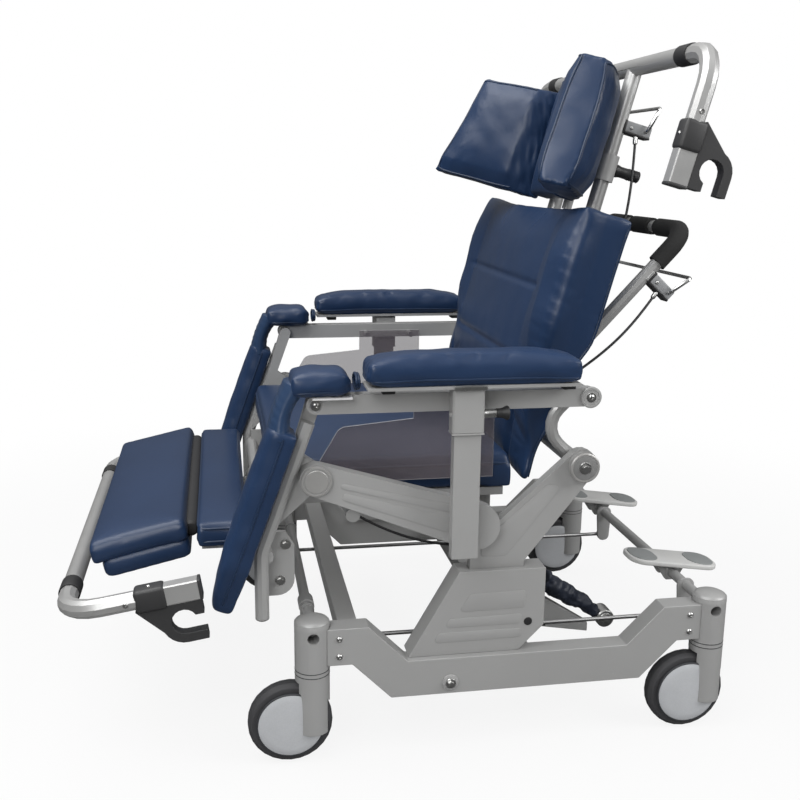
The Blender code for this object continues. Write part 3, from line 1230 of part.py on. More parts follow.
def wing_shape(p, q, r):
    """A stuffed wing with sewn edges: thin at its hinge, full soon after, and longer below than above."""
    root = min(1.0, (p + 1) * 2.2)
    tip = max(p, 0)
    crown = (0.24 + 0.76 * root) * (1 - 0.36 * tip ** 4) * (1 - 0.36 * q ** 6)
    reach = (p + 1) * (1 - WING_TAPER * (q + 1)) - 1
    return (reach - 0.05 * tip * (1 - q * q), q * (1 - 0.03 * (1 - p * p) - 0.05 * tip), crown * r + WING_LEAD * root)


build_base()
build_pump()
build_casters()
build_brakes()
build_towers()
build_seat_frame()
build_seat_soft()
build_legs()
build_leg_rest()
build_transfer_arms()
build_arms()
build_back_frame()
build_push_bar()
build_bails()
build_cables()
build_back_cushion()
build_headrest()
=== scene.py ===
# A reclining patient transfer chair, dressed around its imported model.

import math

import bmesh
import bpy
from mathutils import Matrix, Vector, noise
from mathutils.bvhtree import BVHTree


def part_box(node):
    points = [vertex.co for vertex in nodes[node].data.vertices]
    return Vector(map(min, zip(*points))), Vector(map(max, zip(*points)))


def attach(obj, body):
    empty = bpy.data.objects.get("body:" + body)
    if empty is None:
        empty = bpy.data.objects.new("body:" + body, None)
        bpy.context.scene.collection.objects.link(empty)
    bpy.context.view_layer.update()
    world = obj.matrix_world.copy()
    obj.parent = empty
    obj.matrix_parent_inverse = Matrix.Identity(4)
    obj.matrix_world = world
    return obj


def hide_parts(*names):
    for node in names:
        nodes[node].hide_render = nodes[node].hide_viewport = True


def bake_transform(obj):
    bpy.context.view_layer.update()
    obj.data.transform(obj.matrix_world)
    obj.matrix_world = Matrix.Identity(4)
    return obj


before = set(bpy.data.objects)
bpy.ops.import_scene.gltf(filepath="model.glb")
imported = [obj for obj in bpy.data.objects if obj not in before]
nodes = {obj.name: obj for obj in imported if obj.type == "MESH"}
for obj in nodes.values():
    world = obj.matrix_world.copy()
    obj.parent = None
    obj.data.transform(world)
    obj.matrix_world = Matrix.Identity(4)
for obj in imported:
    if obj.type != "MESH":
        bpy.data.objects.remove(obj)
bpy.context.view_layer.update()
scene = bpy.context.scene
scene.view_settings.view_transform = "Standard"

# Camera. It stands at the sitter's left, a little ahead of the chair's middle and higher than the arms, and
# looks slightly down with a short telephoto lens. Heights and widths below are from the middle of the four
# posts.
post_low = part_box("caster_post_front_left")[0]
post_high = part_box("caster_post_rear_left")[1]
middle_y = (post_low.y + post_high.y) / 2


def at(x, y, z):
    return Vector((x, y + middle_y, z))


turn, dip, roll = (math.radians(a) for a in (10.21, 12.81, 0.62))
ahead = Vector((-math.cos(turn) * math.cos(dip), math.sin(turn) * math.cos(dip), -math.sin(dip)))
level = Vector((math.sin(turn), math.cos(turn), 0))
above = level.cross(ahead)
right = level * math.cos(roll) + above * math.sin(roll)
above = above * math.cos(roll) - level * math.sin(roll)
camera = bpy.data.objects.new("camera", bpy.data.cameras.new("camera"))
film_width, focal_pixels, photo_width = 36, 1008.6, 800
camera.data.sensor_width = film_width
camera.data.lens = film_width * focal_pixels / photo_width
stand = Matrix((right, above, -ahead)).transposed().to_4x4()
stand.translation = at(2.0143, -0.5147, 1.0295)
camera.matrix_world = stand
scene.collection.objects.link(camera)
scene.camera = camera

# Floor and light. A white studio floor that keeps the chair's soft shadow and fades to plain white further
# out, a surround that is white to the camera but dimmer as light, and wide lamps overhead, by the camera
# and behind.


class Tone:
    """A socket in a node tree. Arithmetic on it adds Math nodes, and node() adds any other node."""

    def __init__(self, tree, socket):
        self.tree = tree
        self.socket = socket

    def node(self, kind, settings=None, sockets=None, out=0):
        made = self.tree.nodes.new("ShaderNode" + kind)
        for name, value in (settings or {}).items():
            setattr(made, name, value)
        for name, value in (sockets or {}).items():
            if isinstance(value, Tone):
                self.tree.links.new(value.socket, made.inputs[name])
            else:
                made.inputs[name].default_value = value
        return Tone(self.tree, made.outputs[out])

    def sum(self, operation, first, second):
        return self.node("Math", {"operation": operation}, {0: first, 1: second})

    def __add__(self, other):
        return self.sum("ADD", self, other)

    def __mul__(self, other):
        return self.sum("MULTIPLY", self, other)

    def __radd__(self, other):
        return self.sum("ADD", other, self)

    def __rsub__(self, other):
        return self.sum("SUBTRACT", other, self)

    def between(self, low, high):
        """0 below low, 1 above high, and a smooth step from one to the other."""
        ends = {0: self, 1: low, 2: high, 3: 0.0, 4: 1.0}
        return self.node("MapRange", {"interpolation_type": "SMOOTHSTEP"}, ends)

    def mix(self, first, second):
        """A colour between two colours, with this value as the share of the second."""
        return self.node("Mix", {"data_type": "RGBA"}, {0: self, 6: first, 7: second}, 2)

    def noise(self, scale, detail=2.0, rough=0.5):
        """Noise over these coordinates."""
        look = {"Vector": self, "Scale": scale, "Detail": detail, "Roughness": rough}
        return self.node("TexNoise", None, look)

    def part(self, axis):
        """One of the three coordinates."""
        return self.node("SeparateXYZ", None, {0: self}, "XYZ".index(axis))


def seen_white(tree):
    """1 where the camera looks at the surface, also through a clear sheet, and 0 for all other light."""
    path = tree.nodes.new("ShaderNodeLightPath")
    rays = [Tone(tree, path.outputs[name]) for name in ("Is Camera Ray", "Is Transmission Ray")]
    return rays[0].sum("MAXIMUM", rays[0], rays[1])


def new_object(name, shape):
    """A finished shape as an object in the scene."""
    mesh = bpy.data.meshes.new(name)
    shape.to_mesh(mesh)
    shape.free()
    made = bpy.data.objects.new(name, mesh)
    scene.collection.objects.link(made)
    return made


floor_sheet = bmesh.new()
bmesh.ops.create_grid(floor_sheet, x_segments=1, y_segments=1, size=14)
floor = new_object("floor", floor_sheet)
floor_finish = bpy.data.materials.new("studio_floor")
floor_finish.use_nodes = True
floor_tree = floor_finish.node_tree
floor_tree.nodes.clear()
floor_look = seen_white(floor_tree)
floor_gloss = floor_look.node("LightPath", None, None, "Is Glossy Ray")
floor_tint = floor_gloss.mix((0.55, 0.55, 0.55, 1), (0.07, 0.07, 0.07, 1))
floor_matt = floor_look.node("BsdfDiffuse", None, {"Color": floor_tint})
floor_glow = floor_look.node("Emission", None, {"Color": (1, 1, 1, 1), "Strength": 1.0})
floor_spot = floor_look.node("TexCoord", None, None, "Object")
floor_far = floor_spot.node("VectorMath", {"operation": "LENGTH"}, {0: floor_spot}, 1).between(1.0, 2.4)
floor_share = floor_look * (0.88 + floor_far * 0.12)
floor_mix = floor_look.node("MixShader", None, {0: floor_share, 1: floor_matt, 2: floor_glow})
floor_out = floor_tree.nodes.new("ShaderNodeOutputMaterial")
floor_tree.links.new(floor_mix.socket, floor_out.inputs["Surface"])
floor.data.materials.append(floor_finish)

surround = bpy.data.worlds.new("white_surround")
surround.use_nodes = True
surround_tree = surround.node_tree
surround_look = seen_white(surround_tree)
surround_tree.nodes["Background"].inputs["Color"].default_value = (1, 1, 1, 1)
surround_way = surround_look.node("TexCoord", None, None, "Generated").part("Z")
surround_dim = 0.12 + surround_way.between(0.1, 0.9) * 0.54
surround_strength = surround_look + (1 - surround_look) * surround_dim
surround_tree.links.new(surround_strength.socket, surround_tree.nodes["Background"].inputs["Strength"])
scene.world = surround


def lamp(name, place, aim, size, power):
    light = bpy.data.lights.new(name, "AREA")
    light.shape = "SQUARE"
    light.size = size
    light.energy = power
    holder = bpy.data.objects.new(name, light)
    holder.location = place
    holder.rotation_euler = (aim - place).to_track_quat("-Z", "Y").to_euler()
    scene.collection.objects.link(holder)


lamp("top_lamp", at(0.4, -1.3, 3.0), at(0, 0, 0.5), 2.4, 92)
lamp("camera_lamp", at(2.6, -1.4, 1.9), at(0, 0, 0.7), 1.2, 36)
lamp("rear_lamp", at(1.6, 2.4, 2.0), at(0, 0.2, 0.7), 1.4, 56)

# Base. Two cranked side rails of rectangular steel tube, cross tubes between them and side plates on top,
# all welded and coated with one satin silver-grey paint. Edges are softened as coated steel is.


def new_finish(name, metallic=0.0):
    """An empty material: itself, its shader and the object's own coordinates."""
    finish = bpy.data.materials.new(name)
    finish.use_nodes = True
    shader = finish.node_tree.nodes["Principled BSDF"]
    shader.inputs["Metallic"].default_value = metallic
    place = finish.node_tree.nodes.new("ShaderNodeTexCoord").outputs["Object"]
    return finish, shader, Tone(finish.node_tree, place)


def coat(shader, colour, rough, relief=None, strength=0.0, depth=0.0):
    """Links a colour, a roughness and, where there is one, a relief to the shader."""
    tree = shader.id_data
    tree.links.new(colour.socket, shader.inputs["Base Color"])
    tree.links.new(rough.socket, shader.inputs["Roughness"])
    if relief is not None:
        bump = relief.node("Bump", None, {"Strength": strength, "Distance": depth, "Height": relief})
        tree.links.new(bump.socket, shader.inputs["Normal"])


def satin_paint(name, light, dark):
    finish, shader, place = new_finish(name, 0.2)
    cloud = place.noise(5.0, 3.0)
    flake = place.noise(2600.0, 1.0)
    scuff = place.noise(38.0, 5.0, 0.7).between(0.66, 0.74)
    low = 1 - place.part("Z").between(0.1, 0.35)
    tint = (cloud * 0.7 + flake * 0.3).mix((*dark, 1), (*light, 1))
    worn = (scuff * low * 0.35).mix(tint, (0.52, 0.52, 0.51, 1))
    coat(shader, worn, 0.36 + cloud * 0.1 + scuff * 0.08, place.noise(620.0, 2.0), 0.06, 0.0006)
    return finish


frame_paint = satin_paint("frame_paint", (0.35, 0.35, 0.346), (0.3, 0.3, 0.297))


edge_angle = math.radians(34)


def joined_faces():
    """A node group that joins a solid's loose faces and rounds the shading over all but its real edges."""
    group = bpy.data.node_groups.new("joined_faces", "GeometryNodeTree")
    for way in ("INPUT", "OUTPUT"):
        group.interface.new_socket("Geometry", in_out=way, socket_type="NodeSocketGeometry")
    chain = []
    for kind, socket, value in (("NodeGroupInput", None, None),
                                ("GeometryNodeMergeByDistance", "Distance", 0.00002),
                                ("GeometryNodeRemoveAttribute", "Name", "custom_normal"),
                                ("GeometryNodeSetShadeSmooth", "Shade Smooth", True),
                                ("GeometryNodeSetShadeSmooth", "Shade Smooth", False),
                                ("NodeGroupOutput", None, None)):
        step = group.nodes.new(kind)
        if socket:
            step.inputs[socket].default_value = value
        if chain:
            group.links.new(chain[-1].outputs[0], step.inputs["Geometry"])
        chain.append(step)
    smooth, crease = chain[3:5]
    smooth.domain = "FACE"
    crease.domain = "EDGE"
    angle = group.nodes.new("GeometryNodeInputMeshEdgeAngle")
    steep = group.nodes.new("FunctionNodeCompare")
    steep.operation = "GREATER_THAN"
    steep.inputs[1].default_value = edge_angle
    group.links.new(angle.outputs["Unsigned Angle"], steep.inputs[0])
    group.links.new(steep.outputs[0], crease.inputs["Selection"])
    return group


solid_faces = joined_faces()


def dress(finish, edge, *names):
    """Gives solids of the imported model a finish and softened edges."""
    for name in names:
        solid = nodes[name]
        solid.data.materials.clear()
        solid.data.materials.append(finish)
        join = solid.modifiers.new("joined_faces", "NODES")
        join.node_group = solid_faces
        if edge:
            soft = solid.modifiers.new("soft_edges", "BEVEL")
            soft.width = edge
            soft.segments = 2
            soft.limit_method = "ANGLE"
            soft.angle_limit = edge_angle
            soft.harden_normals = True


dress(frame_paint, 0.0018, "base_frame", "lift_tower_left", "lift_tower_right")

# Base fittings. Dome-headed screws hold the rails to the posts, a hex bolt with a washer sits in each rail,
# and the lift towers have a pressed panel with shallow ribs and a black rubber plug over a service hole.


def worn_metal(name, colour, rough, metallic=1.0):
    finish, shader, place = new_finish(name, metallic)
    cloud = place.noise(24.0, 3.0)
    scratch = place.noise(700.0, 2.0)
    tint = (cloud * 0.6 + scratch * 0.4).mix((*(c * 0.86 for c in colour), 1), (*colour, 1))
    coat(shader, tint, rough + cloud * 0.12 + scratch * 0.06, scratch, 0.05, 0.0004)
    return finish


def moulded(name, colour, rough, grain=420.0):
    finish, shader, place = new_finish(name)
    cloud = place.noise(16.0, 3.0)
    pebble = place.noise(grain, 3.0)
    tint = (cloud * 0.5 + pebble * 0.5).mix((*(c * 0.8 for c in colour), 1), (*(c * 1.2 for c in colour), 1))
    coat(shader, tint, rough + cloud * 0.1 + pebble * 0.08, pebble, 0.12, 0.0005)
    return finish


bright_steel = worn_metal("bright_steel", (0.62, 0.62, 0.61), 0.2)
black_plastic = moulded("black_plastic", (0.016, 0.016, 0.017), 0.42)


def joined(shape, part):
    """Adds a finished part to a shape."""
    mesh = bpy.data.meshes.new("part")
    part.to_mesh(mesh)
    part.free()
    shape.from_mesh(mesh)
    bpy.data.meshes.remove(mesh)


def add_piece(name, shape, finish, body):
    """A finished shape as a piece that moves with a body."""
    piece = new_object(name, shape)
    piece.data.shade_smooth()
    piece.data.set_sharp_from_angle(angle=edge_angle)
    piece.data.materials.append(finish)
    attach(piece, body)
    return piece


def stood(foot, axis):
    """The placement that brings the origin to a foot and Z to an axis."""
    return Matrix.Translation(foot) @ Vector(axis).to_track_quat("Z", "Y").to_matrix().to_4x4()


def turned(shape, foot, axis, profile, sides=28):
    """Adds a turned part: (radius, height) points spun about an axis that starts at its foot.

    A profile that ends off the axis is closed: to its first point, or level to the axis if it starts there.
    """
    profile = list(profile)
    if profile[-1][0]:
        profile.append(profile[0] if profile[0][0] else (0, profile[-1][1]))
    lathe = bmesh.new()
    line = [lathe.verts.new((radius, 0, height)) for radius, height in profile]
    for one, other in zip(line, line[1:]):
        lathe.edges.new((one, other))
    bmesh.ops.spin(lathe, geom=lathe.verts[:] + lathe.edges[:], axis=(0, 0, 1), cent=(0, 0, 0), steps=sides,
                   angle=math.tau, use_merge=True)
    bmesh.ops.remove_doubles(lathe, verts=lathe.verts, dist=0.00001)
    bmesh.ops.recalc_face_normals(lathe, faces=lathe.faces)
    bmesh.ops.transform(lathe, matrix=stood(foot, axis), verts=lathe.verts)
    joined(shape, lathe)


def dome_screw(shape, foot, axis, radius):
    """A round head with a socket in its crown."""
    outline = ((0, 0.28), (0.36, 0.28), (0.42, 0.62), (0.7, 0.52), (0.92, 0.28), (1.0, 0.0))
    turned(shape, foot, axis, [(r * radius, h * radius) for r, h in outline], 20)


def soften(shape, edges, width, segments=2):
    """Rounds edges of a shape."""
    bmesh.ops.bevel(shape, geom=edges, offset=width, segments=segments, profile=0.5, affect="EDGES",
                    material=-1)


def hex_bolt(shape, foot, axis, radius):
    """A washer under a six-sided head."""
    thick = 0.0016
    wide = 1.6 * radius
    turned(shape, foot, axis, [(0, thick), (1.5 * radius, thick), (wide, thick / 2), (wide, 0)])
    head = bmesh.new()
    bmesh.ops.create_cone(head, cap_ends=True, segments=6, radius1=radius, radius2=radius, depth=0.9 * radius)
    soften(head, [e for e in head.edges if all(v.co.z > 0 for v in e.verts)], 0.12 * radius)
    rise = Matrix.Translation((0, 0, thick + 0.45 * radius))
    bmesh.ops.transform(head, matrix=stood(foot, axis) @ rise, verts=head.verts)
    joined(shape, head)


def plate(shape, outline, depth, edge, both=False):
    """Adds a flat plate: an outline, as deep as a vector says, with a soft rim on its far face or on both."""
    sheet = bmesh.new()
    face = sheet.faces.new([sheet.verts.new(p) for p in outline])
    raised = bmesh.ops.extrude_face_region(sheet, geom=[face])
    moved = [v for v in raised["geom"] if isinstance(v, bmesh.types.BMVert)]
    bmesh.ops.translate(sheet, vec=depth, verts=moved)
    bmesh.ops.recalc_face_normals(sheet, faces=sheet.faces)
    faces = [{v in moved for v in e.verts} for e in sheet.edges]
    rim = [e for e, far in zip(sheet.edges, faces) if far == {True} or both and far == {False}]
    soften(sheet, rim, edge, 3 if both else 2)
    joined(shape, sheet)


def panel(shape, outline, x, depth, edge):
    """Adds a flat plate with an outline of (y, z) points on the plane at x."""
    plate(shape, [at(x, y, z) for y, z in outline], (depth, 0, 0), edge)


def arc(before, corner, after, radius, steps):
    """Points along the arc that rounds one corner of a line."""
    back, on = (before - corner).normalized(), (after - corner).normalized()
    half = back.angle(on) / 2
    centre = corner + (back + on).normalized() * radius / math.sin(half)
    first = corner + back * radius / math.tan(half) - centre
    last = corner + on * radius / math.tan(half) - centre
    return [centre + first.slerp(last, i / steps).normalized() * radius for i in range(steps + 1)]


def soft_corners(corners, radius, steps=5):
    """A closed outline whose corners are arcs of the given radius."""
    corners = [Vector(c) for c in corners]
    line = []
    for triple in zip(corners[-1:] + corners, corners, corners[1:] + corners[:1]):
        line += arc(*triple, radius, steps)
    return line


def shapes(count):
    """Empty shapes, to add parts to."""
    return [bmesh.new() for shape in range(count)]


rail_face = 0.402
rail_end = 0.327
screw_heights = (0.199, 0.232)
bolt_spot, washer_thick = (-0.127, 0.134), 0.0045
rail_screws, rail_washers = shapes(2)
for side in (1, -1):
    for y in (-rail_end, rail_end):
        for z in screw_heights:
            dome_screw(rail_screws, at(side * rail_face, y, z), (side, 0, 0), 0.0058)
    turned(rail_washers, at(side * rail_face, *bolt_spot), (side, 0, 0),
           [(0, washer_thick), (0.011, washer_thick), (0.0145, 0.003), (0.0155, 0.0)], 32)
    hex_bolt(rail_screws, at(side * (rail_face + washer_thick), *bolt_spot), (side, 0, 0), 0.006)
add_piece("rail_screws", rail_screws, bright_steel, "base")
add_piece("rail_washers", rail_washers, frame_paint, "base")

tower_face = 0.389
rib_depth, rib_edge = 0.0009, 0.0006
tower_ribs, tower_plugs = shapes(2)
for side in (1, -1):
    for corners in (((-0.158, 0.205), (0.006, 0.207), (0.006, 0.224), (-0.146, 0.224)),
                    ((-0.138, 0.233), (0.002, 0.233), (0.008, 0.252), (-0.127, 0.25)),
                    ((-0.112, 0.262), (0.012, 0.264), (0.012, 0.297), (-0.09, 0.295))):
        panel(tower_ribs, soft_corners(corners, 0.006), side * tower_face, side * rib_depth, rib_edge)
    turned(tower_plugs, at(side * tower_face, 0.018, 0.236), (side, 0, 0),
           [(0, 0.0016), (0.005, 0.0018), (0.007, 0.0014), (0.0078, 0.0)])
add_piece("tower_ribs", tower_ribs, frame_paint, "base")
add_piece("tower_plugs", tower_plugs, black_plastic, "base")

# Casters. Turned posts with a domed cap stand in the rail ends. Below a double seam a fork of the same
# shape swivels, and carries pale plastic discs on both sides of a dark grey rubber wheel.
dress(frame_paint, 0.0006, *(n for n in nodes if n.startswith(("caster_post", "caster_fork"))))
tyre_rubber = moulded("tyre_rubber", (0.04, 0.04, 0.043), 0.58, 260.0)
dress(tyre_rubber, 0.002, *(n for n in nodes if n.startswith("caster_wheel")))
disc_plastic = moulded("disc_plastic", (0.4, 0.41, 0.425), 0.34)
seam_black = moulded("seam_black", (0.03, 0.032, 0.036), 0.5)

track, base_half, trail = 0.382, 0.373, 0.04
post_radius, post_top, swivel_height, wheel_radius = 0.031, 0.262, 0.165, 0.075
disc_inner, disc_radius = 0.0216, 0.0605
both_sides = (("left", 1), ("right", -1))
post_caps, post_seams = shapes(2)
for end, y in (("front", -base_half), ("rear", base_half)):
    for name, side in both_sides:
        tag = end + "_" + name
        x = side * track
        turned(post_caps, at(x, y, post_top - 0.01), (0, 0, 1),
               [(0, 0.0185), (0.012, 0.0178), (0.022, 0.0158), (0.0285, 0.0125), (post_radius, 0.0085),
                (post_radius + 0.0002, 0.0)], 40)
        for z in (swivel_height + 0.0006, swivel_height + 0.0085):
            turned(post_seams, at(x, y, z - 0.0008), (0, 0, 1),
                   [(post_radius - 0.001, 0), (post_radius + 0.0003, 0.0002), (post_radius + 0.0003, 0.0014),
                    (post_radius - 0.001, 0.0016)], 40)
        discs, rings = shapes(2)
        for face in (1, -1):
            hub = at(x + face * (disc_inner - 0.0036), y - trail, wheel_radius)
            turned(discs, hub, (face, 0, 0),
                   [(0, 0.0062), (0.02, 0.006), (0.044, 0.0054), (0.0555, 0.0046), (0.058, 0.003),
                    (0.058, 0.0)], 48)
            turned(rings, hub, (face, 0, 0),
                   [(0.0578, 0.0036), (0.0592, 0.004), (disc_radius, 0.003), (disc_radius, 0.0004),
                    (0.0578, 0.0004)], 48)
        add_piece("caster_discs_" + tag, discs, disc_plastic, "fork_" + tag)
        add_piece("caster_rings_" + tag, rings, seam_black, "fork_" + tag)
add_piece("post_caps", post_caps, frame_paint, "base")
add_piece("post_seams", post_seams, seam_black, "base")

# Central brake. A round shaft runs through each pair of posts. The rear one carries two pale rocker pedals
# with grey rubber pads, whose cast brackets reach down to the link rods that turn the front shaft.
dress(frame_paint, 0.0006, "brake_shaft_front")
rod_steel = worn_metal("rod_steel", (0.46, 0.46, 0.46), 0.26)
dress(rod_steel, 0, "brake_rod_left", "brake_rod_right")
pedal_plastic = moulded("pedal_plastic", (0.5, 0.5, 0.49), 0.46)
pedal_rubber = moulded("pedal_rubber", (0.205, 0.215, 0.215), 0.62, 700.0)

shaft_height, shaft_radius = 0.24, 0.01
pedal_x, pedal_rise, pedal_thick, pedal_tilt = 0.2, 0.016, 0.01, math.radians(8)
lever_x = {1: 0.285, -1: 0.15}
lever_drop, lever_radius = 0.056, 0.013
rear_shaft = at(0, base_half, shaft_height)


def rod(shape, start, end, radius, sides=24, rim=0.0008):
    """Adds a round rod between two points, with softened ends."""
    length = (end - start).length
    profile = [(0, length), (radius - rim, length), (radius, length - rim), (radius, rim), (radius - rim, 0)]
    turned(shape, start, end - start, profile, sides)


shaft = bmesh.new()
rod(shaft, at(-track, base_half, shaft_height), at(track, base_half, shaft_height), shaft_radius)
brackets, pedals, pads = shapes(3)
for side in (1, -1):
    x = side * lever_x[side]
    low = shaft_height - lever_drop
    corners = ((base_half - lever_radius, low - lever_radius), (base_half + lever_radius, low - lever_radius),
               (base_half + lever_radius + 0.004, shaft_height + lever_radius),
               (base_half - lever_radius - 0.006, shaft_height + lever_radius))
    panel(brackets, soft_corners(corners, 0.0125), x - 0.003, 0.006, 0.001)
    rod(brackets, at(x, base_half, low), at(x + side * 0.014, base_half, low), 0.004, 16)
    turned(brackets, at(x + side * 0.0115, base_half, low), (side, 0, 0),
           [(0, 0.003), (0.0065, 0.003), (0.0072, 0.002), (0.0072, 0)], 20)
    hub_ends = [at(side * (pedal_x + reach), base_half, shaft_height) for reach in (-0.023, 0.023)]
    rod(brackets, *hub_ends, 0.015, 28, 0.001)
    flank_top = shaft_height + pedal_rise + 0.002
    flank_low = shaft_height - 0.016
    flank = ((base_half - 0.034, flank_top), (base_half - 0.012, flank_low),
             (base_half + 0.012, flank_low), (base_half + 0.03, flank_top))
    for inner in (-0.021, 0.015):
        panel(brackets, soft_corners(flank, 0.006), side * pedal_x + inner, 0.006, 0.001)
    half = 0.095
    wide = 0.04
    paddle = soft_corners(((-wide, -half), (wide, -half), (wide, half), (-wide, half)), 0.03, 8)
    board = bmesh.new()
    plate(board, [(*p, pedal_rise) for p in paddle], (0, 0, pedal_thick), 0.0028, True)
    rubber = bmesh.new()
    for end in (-1, 1):
        near, far = sorted((end * 0.034, end * (half - 0.006)))
        patch = soft_corners(((-0.034, near), (0.034, near), (0.034, far), (-0.034, far)), 0.0255, 8)
        plate(rubber, [(*p, pedal_rise + pedal_thick - 0.001) for p in patch], (0, 0, 0.0026), 0.0008, True)
    tilt = Matrix.Rotation(-pedal_tilt, 4, "X")
    place = Matrix.Translation(rear_shaft + Vector((side * pedal_x, 0, 0))) @ tilt
    for part, whole in ((board, pedals), (rubber, pads)):
        bmesh.ops.transform(part, matrix=place, verts=part.verts)
        joined(whole, part)
brake_shaft = add_piece("rear_brake_shaft", shaft, frame_paint, "brake_rear")
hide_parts("brake_shaft_rear")
add_piece("pedal_brackets", brackets, frame_paint, "brake_rear")
add_piece("pedals", pedals, pedal_plastic, "brake_rear")
add_piece("pedal_pads", pads, pedal_rubber, "brake_rear")
couplings = bmesh.new()
for side in (1, -1):
    rod(couplings, *(at(side * x, -base_half, shaft_height) for x in (0.24, 0.276)), 0.0145, 28, 0.0015)
add_piece("shaft_couplings", couplings, frame_paint, "brake_front")

# Lift pump. A foot pump under the seat, in a gathered boot of dark coated nylon that is tied at both ends,
# with a steel eye bolted to the base at its rear.


def as_mesh(piece):
    """The mesh that a piece's modifiers give it."""
    ready = piece.evaluated_get(bpy.context.evaluated_depsgraph_get())
    return bpy.data.meshes.new_from_object(ready)


def foam_of(node, inset):
    """A soft solid's own form, joined and drawn in a little, as the filling that a cover goes over."""
    foam = bmesh.new()
    foam.from_mesh(nodes[node].data)
    bmesh.ops.remove_doubles(foam, verts=foam.verts, dist=0.00002)
    bmesh.ops.dissolve_limit(foam, angle_limit=0.001, verts=foam.verts, edges=foam.edges)
    bmesh.ops.triangulate(foam, faces=foam.faces)
    foam.normal_update()
    inward = [v.co - v.normal * inset for v in foam.verts]
    for vertex, place in zip(foam.verts, inward):
        vertex.co = place
    return foam


def skin_over(name, foam, voxel, smooth):
    """A closed skin of even small faces over a filling."""
    pad = new_object(name, foam)
    skin = pad.modifiers.new("skin", "REMESH")
    skin.mode = "VOXEL"
    skin.voxel_size = voxel
    pad.data = as_mesh(pad)
    pad.modifiers.clear()
    even = bmesh.new()
    even.from_mesh(pad.data)
    for step in range(smooth):
        bmesh.ops.smooth_vert(even, verts=even.verts, factor=0.5, use_axis_x=True, use_axis_y=True,
                              use_axis_z=True)
    even.to_mesh(pad.data)
    even.free()
    pad.data.shade_smooth()
    return pad


def draw_in(pad, depth_at):
    """Moves each point of a cover inward, along its normal, by a depth that depends on its place."""
    pad.data.update()
    moves = [v.normal * depth_at(v.co) for v in pad.data.vertices]
    for vertex, move in zip(pad.data.vertices, moves):
        vertex.co -= move
    pad.data.update()


def finish_soft(pad, node, body, finish):
    """Gives a padded piece its fabric and one finer level, in place of its soft solid."""
    pad.data.materials.clear()
    pad.data.materials.append(finish)
    fine = pad.modifiers.new("fine", "SUBSURF")
    fine.levels = 1
    fine.render_levels = 1
    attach(pad, body)
    if node:
        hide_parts(node)
    return pad


boot_nylon = moulded("boot_nylon", (0.012, 0.017, 0.032), 0.46, 900.0)
boot = skin_over("pump_boot", foam_of("lift_pump", 0.004), 0.004, 3)
draw_in(boot, lambda p: 0.007 * noise.noise(p * 46) + 0.003 * noise.noise(p * 120))
finish_soft(boot, "lift_pump", "base", boot_nylon)
pump_rear = at(0.15, 0.25, 0.128)
pump_eye = bmesh.new()
rod(pump_eye, *(pump_rear + Vector((x, 0.008, -0.006)) for x in (-0.02, 0.02)), 0.019, 28, 0.002)
for side in (1, -1):
    hex_bolt(pump_eye, pump_rear + Vector((side * 0.02, 0.008, -0.006)), (side, 0, 0), 0.008)
    for y, z in ((0.06, 0.145), (0.11, 0.158)):
        dome_screw(pump_eye, at(0.15 + side * 0.01, y, z), (side, 0, 0), 0.006)
add_piece("pump_eye", pump_eye, bright_steel, "base")

# Seat frame. Plate steel sides that slide in the towers, tapered box beams out to the knee pivots, cross
# tubes and a pan, painted like the base. Round caps cover the pivots, the rear ones with a bright rim and a
# hex bolt.
dress(frame_paint, 0.0012, "seat_frame")
knee, hip = (-0.365, 0.522), (0.11, 0.522)
beam_face, plate_face = 0.4006, 0.376
cap_grey = moulded("cap_grey", (0.17, 0.17, 0.168), 0.36)
cap_rims, cap_faces, beam_ribs, pivot_bolts = shapes(4)
for side in (1, -1):
    out = (side, 0, 0)
    turned(cap_rims, at(side * (beam_face + 0.006), *knee), out,
           [(0, 0.0026), (0.019, 0.0026), (0.02, 0.0018), (0.0206, 0.0006), (0.0222, 0.0006),
            (0.023, 0.0026), (0.0254, 0.0024), (0.0266, 0.0)], 44)
    turned(cap_faces, at(side * (plate_face + 0.0155), *hip), out,
           [(0, 0.003), (0.021, 0.003), (0.0225, 0.0022), (0.0225, 0.0)], 40)
    turned(cap_rims, at(side * (plate_face + 0.012), *hip), out,
           [(0.0222, 0.0062), (0.025, 0.0066), (0.0272, 0.0054), (0.0278, 0.0), (0.0222, 0.0)], 44)
    hex_bolt(pivot_bolts, at(side * (plate_face + 0.0184), *hip), out, 0.007)
    for corners in (((-0.322, 0.515), (-0.128, 0.468), (-0.13, 0.454), (-0.324, 0.506)),
                    ((-0.318, 0.498), (-0.132, 0.446), (-0.136, 0.418), (-0.322, 0.486))):
        panel(beam_ribs, soft_corners(corners, 0.004), side * beam_face, side * rib_depth, rib_edge)
    brace = ((-0.07, 0.36), (-0.024, 0.36), (0.078, 0.488), (0.046, 0.488), (-0.052, 0.402),
             (-0.07, 0.398))
    panel(beam_ribs, soft_corners(brace, 0.007), side * plate_face, side * rib_depth, rib_edge)
add_piece("pivot_rims", cap_rims, worn_metal("satin_rim", (0.4, 0.395, 0.385), 0.34, 0.5), "seat")
add_piece("hip_caps", cap_faces, cap_grey, "seat")
add_piece("beam_ribs", beam_ribs, frame_paint, "seat")
add_piece("hip_bolts", pivot_bolts, bright_steel, "seat")

# Seat cushion. Foam in a navy cover of coated stretch fabric that lies on the pan between the side plates.
# The cover is filled by a cloth simulation, and a thin piped seam runs round its lower edge.


